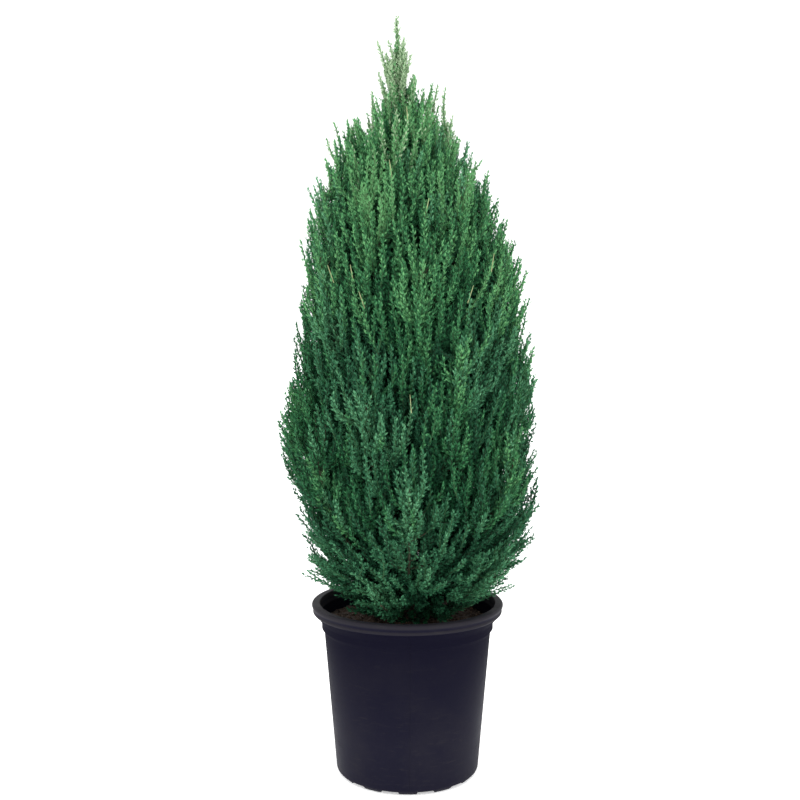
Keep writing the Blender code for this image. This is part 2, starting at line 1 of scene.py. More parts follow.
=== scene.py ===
"""The looks of an upright juniper in a black nursery pot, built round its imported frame.

Metres, +Z up, the origin in the middle of the pot's underside, and the crown seen along +Y. The
limbs follow the same rule as the solids. Side branches, sprays, twiglets and needles grow on from
them, each order by the same few steps, worked out for all of its members at once. A table by height
or depth gives the places and then the values there, and is read along straight lines between them.
"""

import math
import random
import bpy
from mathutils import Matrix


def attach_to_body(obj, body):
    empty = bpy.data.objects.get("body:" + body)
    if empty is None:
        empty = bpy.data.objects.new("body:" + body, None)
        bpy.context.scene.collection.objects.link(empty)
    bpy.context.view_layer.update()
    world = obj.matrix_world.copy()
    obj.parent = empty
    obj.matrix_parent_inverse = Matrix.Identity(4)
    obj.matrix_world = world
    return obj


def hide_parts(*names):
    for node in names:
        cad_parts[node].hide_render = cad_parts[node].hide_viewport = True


bl_info = {
    "name": "Potted juniper",
    "version": (1, 0, 0),
    "blender": (4, 5, 0),
    "location": "View3D > Sidebar > Juniper",
    "description": "Builds an upright juniper in a nursery pot, from its bark to its needles",
    "category": "Add Mesh",
}

from collections import namedtuple

import bpy
import numpy as np
from bpy.props import FloatProperty, FloatVectorProperty, IntProperty, PointerProperty

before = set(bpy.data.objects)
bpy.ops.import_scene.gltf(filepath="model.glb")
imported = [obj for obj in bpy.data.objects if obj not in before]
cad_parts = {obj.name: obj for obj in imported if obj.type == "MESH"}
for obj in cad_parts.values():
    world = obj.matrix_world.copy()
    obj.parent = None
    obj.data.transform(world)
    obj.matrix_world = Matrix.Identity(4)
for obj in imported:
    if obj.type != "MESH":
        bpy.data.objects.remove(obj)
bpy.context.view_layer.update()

BODY = "root"
UP = np.array((0.0, 0.0, 1.0))
SIDEWAYS = np.array((1.0, 0.0, 0.0))
GOLDEN_ANGLE = math.pi * (3 - math.sqrt(5))
SEED = 11
CHIP_SEED = SEED + 1
TONE_SEED = SEED + 1
NEEDLE_SEED = SEED + 2

# The pot
POT_HEIGHT = 0.308
RIM_RADIUS = 0.1715
RIM_MOUTH_RADIUS = 0.157
NECK_RADIUS = 0.1535
NECK_TOP = 0.274
NECK_BOTTOM = 0.2625
WALL_TOP_RADIUS = 0.149
WALL_TOP = 0.2555
WALL_FOOT_RADIUS = 0.1282
CORNER_HEIGHT = 0.011
FOOT_RADIUS = 0.1217
WALL = 0.0026
FEET = 12
FOOT_HEIGHT = 0.006
NOTCH_INNER_RADIUS = 0.099
FLOOR = 0.003
GUTTER = FOOT_HEIGHT + FLOOR
SEAM_ANGLE = -math.pi / 2 + math.radians(1.3)
SEAM_WIDTH = math.radians(0.2)
SEAM_TOP = POT_HEIGHT - 0.02

# The heights between which the pot's beads, painted pale as a highlight, and its dull wall, darker towards the rim as
# painted shade, come and go, then from what to what if not 0 to 1
UPPER_BEAD_HIGHLIGHT = (0.2990, 0.3025)
LOWER_BEAD_HIGHLIGHT_FOOT = (0.2895, 0.2920)
LOWER_BEAD_HIGHLIGHT_TOP = (0.2945, 0.2965, 1.0, 0.0)
DULL_SHADE_FOOT = (0.080, 0.262, 0.0, 0.8)
DULL_SHADE_TOP = (0.2885, 0.2905, 1.0, 0.25)

# The soil: its lumps are waves of these lengths and heights, and a chip has six corners
SOIL_TOP = 0.272
SOIL_RADIUS = 0.1498
SOIL_MOUND = 0.004
SOIL_SUNK = 0.001
MOUND_RADIUS = 0.05
CLEARANCE = 0.0003
SOIL_GAP = 0.0005
SOIL_RINGS = 80
SOIL_SIDES = 220
LUMPS = ((0.040, 0.8), (0.018, 0.55), (0.009, 0.4), (0.005, 0.28), (0.0032, 0.2))
CHIP_CORNERS = np.array([(1, 0, 0), (0, 0.5, 0), (-1, 0.1, 0), (0.1, -0.5, 0), (0.2, 0, 0.28), (-0.1, 0, -0.28)])
CHIP_FACES = np.array([(0, 1, 4), (1, 2, 4), (2, 3, 4), (3, 0, 4), (1, 0, 5), (2, 1, 5), (3, 2, 5), (0, 3, 5)])

# The trunk
TRUNK_FOOT = SOIL_TOP + SOIL_MOUND + CLEARANCE
TRUNK_TOP = 1.080
TRUNK_RADIUS = 0.0135
TRUNK_TIP_RADIUS = 0.003
FLARE = 0.009
FLARE_HEIGHT = 0.022
FLARE_LOBES = 4
LOBE_DEPTH = 0.25
TRUNK_SWAY = 0.004
SWAY_TURNS = 0.75
TIP_LEAN = -0.019
TRUNK_LEAN = 0.8 * TIP_LEAN
TRUNK_SIDES = 44
TRUNK_RINGS = 300
RING_CROWDING = 1.3
BOUGH_SIDES = 16
BOUGH_RINGS = 40
BOUGH_RELIEF = 0.45
RIDGE_TURN = 3

# The tiers of limbs. Heights and radii are metres, angles degrees.
CROWN_SHIFTS = ((0.28, 0.45, 0.62, 0.85, 1.05, 1.343), (0.006, 0.013, 0.004, 0.008, -0.006, TIP_LEAN))
Tier = namedtuple("Tier", "name count angle attach span tip tip_span radius bough_share")
TIERS = (
    Tier("skirt", 5, 250, 0.292, 0.020, 0.415, 0.040, 0.196, 0.0),
    Tier("lower", 7, 270, 0.325, 0.060, 0.590, 0.070, 0.218, 0.22),
    Tier("middle", 7, 245, 0.410, 0.090, 0.775, 0.080, 0.212, 0.22),
    Tier("shoulder", 6, 275, 0.540, 0.100, 0.945, 0.060, 0.184, 0.22),
    Tier("upper", 6, 248, 0.690, 0.110, 1.085, 0.050, 0.146, 0.0),
    Tier("top", 4, 265, 0.860, 0.090, 1.180, 0.070, 0.088, 0.0),
)
LEADER = Tier("leader", 1, 0, TRUNK_TOP - 0.006, 0.0, 1.340, 0.0, 0.120, 0.0)
ANGLE_JITTER = 0.09
HEIGHT_JITTER = 0.012
SPREAD_JITTER = 0.045
SPREAD_OUT = 0.50
SPREAD_UP = 0.07
TURN_OUT = 0.93
TURN_UP = 0.46
BOUGH_RADIUS = 0.0062
BOUGH_TIP_RADIUS = 0.0040
STEM_RADIUS = 0.0036
STEM_TIP_RADIUS = 0.0010
STEM_SLENDERNESS = 0.019
SPACE_PLACES = np.linspace(0.02, 1, 40)
SPACE_BATCH = 1000
END_ROD = 0.042  # The single slim shoot that ends a limb, twice this long on the leader

# The crown's foot, how far a limb may leave the outline, and how far points over the crown stray from their rings,
# in rises, steps and steps of angle
CROWN_FOOT = 0.300
LIMB_STRAY = 0.005
RISE_STRAY = 0.5
DEPTH_STRAY = 0.3
ANGLE_STRAY = 0.35

# The limbs' spaces part in grooves, which deep layers don't follow, and shoots are darker on the borders, as painted
# shade
GROOVE = 0.022
GROOVE_WIDTH = 0.040
GROOVE_FLOOR = 0.060
BORDER_SHADE = 0.35
BORDER_WIDTH = 0.030

# Which way shoots point by height, and how far they scatter
HEADING_UP = ((0.30, 0.40, 0.55), (0.15, 0.60, 1.0))
HEADING_OUT = ((0.30, 0.40, 0.55), (1.0, 0.75, 0.25))
HEADING_SCATTER = 0.11

# Side branches: layers as (spacing, depth below the surface), where on its limb one may start, and its rise by height
BRANCH_LAYERS = ((1.0, 0.030), (1.0, 0.065), (1.2, 0.105))
BRANCH_STARTS = np.linspace(0.06, 1, 50)
BRANCH_SLANT = ((0.34, 0.55), (0.15, 0.75))
SLANT_WEIGHT = 2.5
BRANCH_BEND = (0.62, 0.62, 0.36)

# Sprays: their layers, how long they are, and how far below its tip each has to start
SPRAY_LAYERS = ((1.0, -0.002), (1.0, 0.016), (1.0, 0.036), (1.15, 0.060), (1.4, 0.088), (1.6, 0.120))
SPRAY_STARTS = np.linspace(0.15, 0.95, 12)
SPRAY_STRETCH = ((0.60, 1.05), (1.0, 1.5))
SPRAY_LENGTHS = (0.75, 1.15)
SPRAY_ARCH = 0.62
SPRAY_DROP = 0.015
SPRAY_REACH = (0.015, 0.14)
DROP_WEIGHT = 2

# The sprays of one branch make a small plume round a point below its end, sunk and darker on its border in painted
# shade, and painted lighter towards its top
PLUMELET_DROP = 0.020
PLUMELET_METRIC = (1.0, 1.0, 0.55)
RELIEF = 0.014
RELIEF_WIDTH = 0.010
OTHER_BRANCH = 0.018
BRANCH_TONE = 0.09
TOP_TONE = 0.20
TONE_HEIGHT = 0.7

# Limbs carry twiglets on this outer share, in pieces of this length, and their plumes close in short sprays
LEAFY_SHARE = 0.65
LEAFY_PIECE = 0.04
PLUME_TIP = 0.10
PLUME_TIP_SPRAYS = 13
PLUME_TIP_TILTS = (14, 26)
PLUME_TIP_LENGTHS = (0.55, 0.8)
PLUME_TIP_TURN = 0.6

# The tips of the slim shoots that stand out of the crown. Those far forward end in a bare, pale tip.
LONE_SHOOTS = (
    (-0.0513, -0.010, 1.287), (-0.006, -0.020, 1.291), (0.0045, -0.012, 1.263), (0.0095, 0.010, 1.234),
    (-0.050, 0.015, 1.240), (0.052, 0.000, 1.216), (0.065, -0.015, 1.207), (-0.0615, -0.010, 1.202),
    (-0.088, -0.010, 1.145), (-0.105, 0.000, 1.155), (-0.126, -0.015, 1.147), (-0.1417, 0.010, 1.125),
    (0.0775, -0.020, 1.159), (0.112, 0.000, 1.100), (0.126, -0.020, 1.083), (0.1417, 0.010, 1.069),
    (-0.173, -0.010, 1.038), (-0.156, -0.030, 1.055), (-0.001, -0.115, 1.143), (-0.028, -0.150, 1.052),
    (0.030, -0.160, 0.990), (-0.126, -0.140, 0.884), (-0.091, -0.160, 0.884), (-0.074, -0.175, 0.841),
    (0.138, -0.140, 0.902), (0.100, -0.165, 0.850), (0.004, -0.205, 0.675), (-0.183, -0.030, 0.362),
    (-0.170, -0.070, 0.375), (0.187, -0.030, 0.340), (0.178, -0.070, 0.352), (-0.0428, 0.010, 1.258),
    (-0.036, -0.015, 1.265), (-0.027, 0.012, 1.278), (-0.0046, 0.015, 1.281), (0.0020, -0.020, 1.252),
    (-0.046, -0.012, 1.227), (-0.039, 0.005, 1.238), (-0.031, -0.022, 1.248), (0.012, -0.018, 1.215),
)
LONE_SHOOT_LENGTH = 0.085
LONE_SHOOT_DROP = 0.04
LONE_SHOOT_ARCH = 0.6
FAR_FORWARD = -0.10
BARE_TIP_REACH = np.linspace(-0.012, 0.018, 4)
BARE_TIP_RADII = (0.0010, 0.0009, 0.0007, 0.0004)

# Cells of the inner crown that are filled: their size, the box and the depths they lie in, and their sprays' tones,
# darker the deeper they lie as painted shade
FILL_CELL = np.array((0.0155, 0.0155, 0.034))
FILL_LOW = np.array((-0.25, -0.25, CROWN_FOOT))
FILL_HIGH = np.array((0.25, 0.25, 1.20))
FILL_DEPTH = ((0.80, 1.00), (0.009, 0.007))
FILL_REACH = 0.110
FILL_TONES = ((0.010, 0.045), (-0.05, -0.30))
FILL_STRAY = 0.3
FILL_RISE = 0.5
FILL_LENGTH = 1.6
FILL_ARCH = 0.5
FILL_BATCH = 200

# Twiglets: where on the spray they begin, their spacing by height, their tilts in degrees, and their lengths, which
# fall along the spray from the first share by the second
TWIGLET_START = 0.12
TWIGLET_SPACING = ((1.00, 1.25), (1.0, 0.65))
TWIGLET_TILTS = (30, 42)
END_TILT = 0.1
TWIGLET_TAPER = (1.05, 0.65)
TWIGLET_LENGTHS = (0.75, 1.15)
TWIGLET_TURN = 0.5

# Twigs: how far a plume's stem runs, a branch's radius by its length, and a spray's from its foot to its tip
STEM_END = 0.97
STEM_RINGS = 40
STEM_SIDES = 7
BRANCH_RINGS = 7
BRANCH_SIDES = 5
BRANCH_TIP_RADIUS = 0.0006
BRANCH_SLENDERNESS = 0.009
BRANCH_TAPER = 0.8
SPRAY_STEPS = np.linspace(0, 0.94, 4)
DEEP_STEPS = np.array((0.0, 0.8))
SPRAY_SIDES = 3
SPRAY_RADII = (0.0016, 0.0008)
SPRAY_STOUTNESS = ((0.90, 1.20), (1.0, 1.5))
# The twigs' greens by their spray's tone, from shaded to lit: painted shade and light
TWIG_TONES = (0.42, 0.95)
TWIG_GREENS = ((0.015, 0.045, 0.020), (0.036, 0.105, 0.042), (0.095, 0.195, 0.085))
BARE_TIP_COLOUR = (0.34, 0.38, 0.19)

# Needles: the spacing of a spray's own, where a twiglet's begin, the angle and its scatter at the tip, and how much
# sparser, longer and wider they are deep inside, at these depths
OWN_NEEDLE_SPACING = 0.0030
FIRST_NEEDLE = 0.15
DEEP_SPACING = 1.2
TIP_ANGLE = 0.28
ANGLE_SCATTER = 0.12
NEEDLE_LENGTHS = (0.75, 1.1)
NEEDLE_WIDTHS = (0.85, 1.15)
DEEP_LENGTH = 0.6
DEEP_WIDTH = 2.0
NEEDLE_BELLY = 0.38
NEEDLE_FOLD = 0.25
DEEP = ((0.035, 0.080), (0.0, 1.0))

# Tones: the crown's by height, less inside as painted shade, with a little scatter, and each needle's by its place and
# direction as painted light on tips and on twiglets that face out
TOP_TONES = (
    (0.31, 0.335, 0.355, 0.42, 0.60, 0.95, 1.10, 1.25, 1.32),
    (0.16, 0.30, 0.45, 0.55, 0.52, 0.73, 0.93, 1.28, 1.50),
)
INNER_SHARE = 0.35
TONE_DEPTH = 0.075
TONE_SCATTER = 0.06
LIGHT_ALONG_SPRAY = 0.12
LIGHT_ALONG_TWIGLET = 0.38
LIGHT_OUTWARD = 0.26
LEVEL_OUTWARD = 0.05
LIGHT_SHARE = ((0.40, 0.95), (0.70, 0.96))
NEEDLE_SCATTER = 0.2

# Colours: steps from deep to tip, which carry painted shade and light as well as the needles' own colour, pale ones
# from this many steps more, and where blue-green and dead sprays are
TINTS = 6
DEAD_TINT = 2 * TINTS
PALE_TINT = 2 * TINTS + 1
PALE_FROM = ((0.95, 1.20), (3.0, 0.0))
BLUE_LEAN = ((0.40, 0.65, 0.85, 1.2), (1.8, 0.0, -0.9, -1.5))
BLUE_PATCHES = 0.7
BLUE_SCATTER = 0.8
DEAD_SPOTS = np.array([(0.098, -0.13, 0.335), (0.115, -0.10, 0.318)])
DEAD_RADIUS = 0.020
DEAD_SHARE = 0.25

# The crown's outline: how far the foliage reaches left and right of the pot's middle at each height
OUTLINE_HEIGHTS = (
    0.29, 0.33, 0.374, 0.44, 0.52, 0.60, 0.66, 0.72, 0.80, 0.89, 0.97, 1.055, 1.10, 1.14, 1.165, 1.205, 1.22, 1.27,
    1.333,
)
OUTLINE_LEFT = (
    0.09, 0.138, 0.165, 0.190, 0.203, 0.224, 0.225, 0.195, 0.193, 0.188, 0.177, 0.148, 0.138, 0.122, 0.070, 0.052,
    0.048, 0.040, 0.024,
)
OUTLINE_RIGHT = (
    0.09, 0.152, 0.200, 0.228, 0.233, 0.221, 0.224, 0.224, 0.213, 0.206, 0.171, 0.132, 0.108, 0.078, 0.066, 0.050,
    0.024, 0.002, -0.01,
)
CROWN_TOP = OUTLINE_HEIGHTS[-1]

# The floor, and the lamps' places, width and aim
FLOOR_SIZE = 20.0
FLOOR_DROP = 0.0002
KEY_LIGHT = ((-1.7, -2.2, 2.6), 1.6)
FILL_LIGHT = ((2.2, -1.6, 1.5), 2.0)
LIGHT_AIM = (0, 0, 0.75)


# Settings


def colour_setting(name, description, default):
    """A colour that a user may change."""
    return FloatVectorProperty(name=name, description=description, subtype="COLOR", default=default, min=0, max=1)


def length_setting(name, description, default):
    """A length that a user may change."""
    return FloatProperty(name=name, description=description, unit="LENGTH", default=default, min=0)


class JuniperPotSettings(bpy.types.PropertyGroup):
    """The pot's plastic."""

    colour: colour_setting("Plastic", "The black plastic", (0.0068, 0.0064, 0.0156))
    scuff_and_highlight_colour: colour_setting("Scuffs", "Dust and scuffs", (0.041, 0.038, 0.037))
    roughness: FloatProperty(
        name="Roughness", description="Of the clean plastic", subtype="FACTOR", default=0.48, min=0, max=1
    )
    seam: length_setting("Mould seam", "How far the mould's seams stand out", 0.0007)


class JuniperSoilSettings(bpy.types.PropertyGroup):
    """The potting mix."""

    colour: colour_setting("Soil", "The moist mix", (0.034, 0.019, 0.011))
    chip_colour: colour_setting("Chip colour", "Bark chips", (0.085, 0.052, 0.032))
    lumps: length_setting("Lumps", "Height of the surface's lumps", 0.0022)
    chips: IntProperty(name="Chips", description="How many bark chips lie on it", default=1500, min=0)
    chip_length: length_setting("Chip length", "Length of a chip", 0.0065)


class JuniperBarkSettings(bpy.types.PropertyGroup):
    """Bark of the trunk, the boughs and the twigs."""

    colour: colour_setting("Bark", "The bark's ridges", (0.095, 0.062, 0.043))
    furrow_colour: colour_setting("Furrows", "Between the ridges", (0.030, 0.019, 0.013))
    twig_colour: colour_setting("Twigs", "Thin twigs", (0.036, 0.036, 0.020))
    relief: length_setting("Relief", "Depth of the furrows", 0.0011)


class JuniperFoliageSettings(bpy.types.PropertyGroup):
    """Branches, sprays, twiglets and needles."""

    branch_spacing: length_setting("Branch spacing", "Between the ends of side branches", 0.043)
    branch_rise: length_setting("Branch rise", "Between one level of ends and the next", 0.080)
    spray_spacing: length_setting("Spray spacing", "Between the tips of sprays on a level", 0.0172)
    spray_rise: length_setting("Spray rise", "Between one level of tips and the next", 0.047)
    spray_length: length_setting("Spray length", "Of most sprays", 0.065)
    twiglet_spacing: length_setting("Twiglet spacing", "Between twiglets along a spray", 0.0044)
    twiglet_length: length_setting("Twiglet length", "Of the longest twiglets", 0.0090)
    needle_spacing: length_setting("Needle spacing", "Between needles along a twiglet", 0.0014)
    needle_length: length_setting("Needle length", "Of a needle", 0.0068)
    needle_width: length_setting("Needle width", "Of a needle", 0.0029)
    needle_angle: FloatProperty(
        name="Needle angle", description="Between needle and twig", subtype="ANGLE", default=math.radians(25)
    )
    # The greens from depths to tips stand for shaded and lit needles as well as their colour: painted shade and light
    tip_green: colour_setting("Tips", "The lightest tips", (0.134, 0.365, 0.143))
    deep_green: colour_setting("Depths", "The darkest needles", (0.0078, 0.064, 0.025))
    tip_blue: colour_setting("Blue tips", "Light tips low down", (0.122, 0.335, 0.170))
    deep_blue: colour_setting("Blue depths", "Dark needles low down", (0.0088, 0.060, 0.027))
    pale: colour_setting("Young tips", "The palest new tips", (0.355, 0.500, 0.305))
    dead: colour_setting("Dead needles", "A few dry sprays", (0.230, 0.125, 0.070))


class JuniperStageSettings(bpy.types.PropertyGroup):
    """Floor, light and camera."""

    floor_colour: colour_setting("Floor", "The pale floor", (0.98, 0.98, 0.98))
    floor_glow: FloatProperty(name="Floor glow", description="Of a lit backdrop", default=0.45, min=0)
    surround: FloatProperty(name="Surround", description="Strength of the white surround", default=1.42, min=0)
    key: FloatProperty(name="Key light", description="From the front left", subtype="POWER", default=18.0, min=0)
    fill: FloatProperty(name="Fill light", description="From the right", subtype="POWER", default=6.0, min=0)
    lens: FloatProperty(name="Lens", description="Focal length", subtype="DISTANCE_CAMERA", default=51.07, min=1)
    camera_place: FloatVectorProperty(
        name="Camera", description="Where it stands", subtype="TRANSLATION", default=(-0.0133, -2.0096, 0.8183)
    )
    camera_pitch: FloatProperty(
        name="Pitch", description="How far it looks down", subtype="ANGLE", default=math.radians(4.247)
    )


class JuniperSettings(bpy.types.PropertyGroup):
    """All settings of the potted juniper."""

    pot: PointerProperty(type=JuniperPotSettings)
    soil: PointerProperty(type=JuniperSoilSettings)
    bark: PointerProperty(type=JuniperBarkSettings)
    foliage: PointerProperty(type=JuniperFoliageSettings)
    stage: PointerProperty(type=JuniperStageSettings)


# Finishes


class Wire:
    """A socket in a material's nodes. Arithmetic on wires adds Math nodes."""

    def __init__(self, finish, socket):
        self.finish = finish
        self.socket = socket

    def _maths(self, operation, other):
        return self.finish.node("ShaderNodeMath", {"operation": operation}, {0: self, 1: other})

    def __add__(self, other):
        return self._maths("ADD", other)

    def __mul__(self, other):
        return self._maths("MULTIPLY", other)

    __radd__ = __add__
    __rmul__ = __mul__


class Finish:
    """A Principled material and its nodes."""

    def __init__(self, name, colour, roughness, specular=0.5):
        self.material = bpy.data.materials.new(name)
        self.material.use_nodes = True
        self.tree = self.material.node_tree
        self.shader = self.tree.nodes["Principled BSDF"]
        self.set(self.shader, "Base Color", colour)
        self.set(self.shader, "Roughness", roughness)
        self.set(self.shader, "Specular IOR Level", specular)
        self.material.diffuse_color = (*tuple(colour)[:3], 1)

    def set(self, node, key, value):
        """Gives one socket of a node its value or link."""
        if isinstance(value, Wire):
            self.tree.links.new(value.socket, node.inputs[key])
            return
        if hasattr(value, "__len__") and len(value) == 3 and node.inputs[key].type == "RGBA":
            value = (*value, 1)
        node.inputs[key].default_value = value

    def node(self, kind, settings, inputs, output=0):
        """Adds one node: its settings first, then the values or links of its sockets."""
        made = self.tree.nodes.new(kind)
        for key, value in settings.items():
            setattr(made, key, value)
        for key, value in inputs.items():
            self.set(made, key, value)
        return Wire(self, made.outputs[output])

    def place(self, scale=(1, 1, 1)):
        """The point of the surface in the object's own coordinates, stretched by scale."""
        where = self.node("ShaderNodeTexCoord", {}, {}, "Object")
        return self.node("ShaderNodeMapping", {}, {"Vector": where, "Scale": scale})

    def height(self):
        """How high the point of the surface is."""
        return self.node("ShaderNodeSeparateXYZ", {}, {"Vector": self.place()}, 2)

    def noise(self, scale, detail=4.0, roughness=0.6, stretch=(1, 1, 1)):
        """Noise of so many spots a metre, finer in the directions that stretch makes longer."""
        inputs = {"Vector": self.place(stretch), "Scale": scale, "Detail": detail, "Roughness": roughness}
        return self.node("ShaderNodeTexNoise", {}, inputs)

    def between(self, value, low, high, start=0.0, end=1.0):
        """value read from low to high as start to end, and no further."""
        inputs = {"Value": value, "From Min": low, "From Max": high, "To Min": start, "To Max": end}
        return self.node("ShaderNodeMapRange", {"clamp": True}, inputs)

    def mix(self, share, first, second):
        """The first colour, with a share of the second."""
        return self.node("ShaderNodeMix", {"data_type": "RGBA"}, {0: share, 6: first, 7: second}, 2)

    def skin(self, colour, roughness, relief, depth):
        """Gives the surface its colour, its roughness and a relief, which is depth metres deep."""
        self.set(self.shader, "Base Color", colour)
        self.set(self.shader, "Roughness", roughness)
        inputs = {"Height": relief, "Distance": depth, "Strength": 1.0}
        self.set(self.shader, "Normal", self.node("ShaderNodeBump", {}, inputs))

    def dull(self, share, colour):
        """Mixes in a share of a surface of this colour that has no gloss."""
        inputs = {"Base Color": colour, "Roughness": 1, "Specular IOR Level": 0}
        matte = self.node("ShaderNodeBsdfPrincipled", {}, inputs)
        mixed = self.node("ShaderNodeMixShader", {}, {0: share, 1: Wire(self, self.shader.outputs[0]), 2: matte})
        self.set(self.tree.nodes["Material Output"], "Surface", mixed)


def scaled(colour, share):
    """The colour made darker or lighter."""
    return [part * share for part in colour]


def plastic_finish(settings):
    """Satin black plastic: a fine grain, dull patches, and pale dust and scuffs that run round the pot.

    Its two beads are painted pale as a highlight, and its wall loses its gloss and darkens towards the rim as painted
    shade under the rim.
    """
    made = Finish("pot plastic", settings.colour, settings.roughness, 0.05)
    dust = made.between(made.noise(9.0, 6.0, 0.65), 0.46, 0.72)
    scuffs = made.between(made.noise(60.0, 5.0, 0.7, (0.5, 0.5, 3.0)), 0.56, 0.72)
    height = made.height()
    # Painted highlights on the crests of the two beads, mixed in with the real dust and scuffs
    upper_bead = made.between(height, *UPPER_BEAD_HIGHLIGHT)
    lower_bead = made.between(height, *LOWER_BEAD_HIGHLIGHT_FOOT) * made.between(height, *LOWER_BEAD_HIGHLIGHT_TOP)
    scuffs_and_highlight = dust * 0.15 + scuffs * 0.25 + upper_bead * 0.42 + lower_bead * 0.38
    colour = made.mix(scuffs_and_highlight, settings.colour, settings.scuff_and_highlight_colour)
    grain = made.noise(900.0, 3.0, 0.6) * 0.4 + made.noise(70.0, 3.0, 0.5)
    made.skin(colour, settings.roughness + dust * 0.14 + scuffs * 0.18, grain, 0.00018)
    # Painted shade under the rim: a darker, glossless copy of the plastic, mixed in up the wall towards the rim
    made.dull(made.between(height, *DULL_SHADE_FOOT) * made.between(height, *DULL_SHADE_TOP), scaled(settings.colour, 0.7))
    return made.material


def soil_finish(name, colour):
    """Moist crumb: darker and paler grains over a coarse mottle."""
    made = Finish(name, colour, 0.9)
    grains = made.between(made.noise(420.0, 4.0, 0.7), 0.40, 0.66)
    mottle = made.between(made.noise(55.0, 4.0, 0.6), 0.38, 0.64)
    mottled = made.mix(grains * 0.6, made.mix(mottle, scaled(colour, 0.45), colour), scaled(colour, 2.2))
    made.skin(mottled, made.between(mottle, 0.0, 1.0, 0.78, 0.96), made.noise(380.0, 5.0, 0.7), 0.0009)
    return made.material


def bark_finish(settings):
    """Fibrous bark: long strips up the stem, pale on their ridges and dark between them."""
    made = Finish("bark", settings.colour, 0.85, 0.25)
    strips = made.noise(260.0, 5.0, 0.65, (1, 1, 0.10))
    flakes = made.between(made.noise(60.0, 3.0, 0.5, (1, 1, 0.3)), 0.42, 0.62)
    ridge = made.between(strips, 0.40, 0.62)
    brown = made.mix(ridge, settings.furrow_colour, settings.colour)
    grey = [c * 0.75 + 0.05 for c in settings.colour]
    made.skin(made.mix(flakes * 0.4, brown, grey), made.between(ridge, 0.0, 1.0, 0.95, 0.78), strips, 0.0008)
    return made.material


# Meshes


def unit(vectors):
    """The vectors, each divided by its length."""
    return vectors / np.maximum(np.linalg.norm(vectors, axis=-1, keepdims=True), 1e-12)


def round_angles(sides):
    """So many angles evenly round a circle."""
    return np.arange(sides) * math.tau / sides


def linked(name, data):
    """A new object in the scene."""
    made = bpy.data.objects.new(name, data)
    bpy.context.scene.collection.objects.link(made)
    return made


def spread(counts):
    """For rows with these many members each: every member's row, and its order within the row."""
    rows = np.repeat(np.arange(len(counts)), counts)
    starts = np.cumsum(counts) - counts
    return rows, np.arange(len(rows)) - starts[rows]


def mesh_piece(name, vertices, faces, materials, tints=None, smooth=True):
    """One object from arrays of vertices and of faces with the same number of corners."""
    mesh = bpy.data.meshes.new(name)
    vertices = np.asarray(vertices, np.float32).reshape(-1, 3)
    faces = np.asarray(faces, np.int32)
    mesh.vertices.add(len(vertices))
    mesh.vertices.foreach_set("co", vertices.ravel())
    mesh.loops.add(faces.size)
    mesh.loops.foreach_set("vertex_index", faces.ravel())
    mesh.polygons.add(len(faces))
    mesh.polygons.foreach_set("loop_start", np.arange(0, faces.size, faces.shape[1], dtype=np.int32))
    for surface in materials:
        mesh.materials.append(surface)
    if tints is not None:
        mesh.polygons.foreach_set("material_index", np.asarray(tints, np.int32))
    mesh.polygons.foreach_set("use_smooth", np.full(len(faces), smooth))
    mesh.update(calc_edges=True)
    if mesh.validate():
        raise RuntimeError(f"{name} has faces that are not sound")
    return linked(name, mesh)


def settled(piece, slot, *nodes):
    """The piece rides on the body and stands for the nodes, if there are any. The slot is not used."""
    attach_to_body(piece, BODY)
    if nodes:
        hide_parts(*nodes)


def joined(name, parts, materials, slot, tints=None):
    """One piece that stands for no node, from several pairs of vertices and faces."""
    offsets = np.cumsum([0] + [len(vertices) for vertices, _ in parts])
    vertices = np.concatenate([vertices for vertices, _ in parts])
    faces = np.concatenate([faces + offset for (_, faces), offset in zip(parts, offsets)])
    settled(mesh_piece(name, vertices, faces, materials, tints), slot)


def ring_faces(rings, sides):
    """Triangles between each ring of points and the next, and fans that close the last ring and the first.

    The points come ring by ring, then the pole beyond the last ring, then the one before the first.
    """
    i = np.arange(sides)
    j = (i + 1) % sides
    low = (np.arange(rings - 1) * sides)[:, None]
    walls = np.stack([
        np.stack([low + i, low + j, low + sides + j], -1),
        np.stack([low + i, low + sides + j, low + sides + i], -1),
    ]).reshape(-1, 3)
    last, pole = (rings - 1) * sides, np.full(sides, rings * sides)
    return np.concatenate([walls, np.stack([last + i, last + j, pole], -1), np.stack([j, i, pole + 1], -1)])


def tubes(paths, radii, sides, relief=0.0):
    """Tapering tubes, all with as many rings: circles of the given radii square to the paths.

    A point lies at path + (radius + relief) * (cos angle * side + sin angle * up). Each tube ends in
    a point and is closed by a fan at its foot. Returns vertices and triangles.
    """
    count, rings = radii.shape
    along = unit(np.gradient(paths, axis=1))
    side = unit(np.cross(along, np.where(np.abs(along[:, :1, 2:]) < 0.8, UP, SIDEWAYS)))
    up = np.cross(side, along)
    angles = round_angles(sides)
    circle = np.cos(angles)[:, None] * side[:, :, None] + np.sin(angles)[:, None] * up[:, :, None]
    body = (paths[:, :, None] + circle * (radii[..., None] + relief)[..., None]).reshape(count, rings * sides, 3)
    ends = np.stack([paths[:, -1] + along[:, -1] * radii[:, -1:], paths[:, 0]], axis=1)
    vertices = np.concatenate([body, ends], axis=1)
    faces = (np.arange(count) * vertices.shape[1])[:, None, None] + ring_faces(rings, sides)
    return vertices.reshape(-1, 3), faces.reshape(-1, 3)


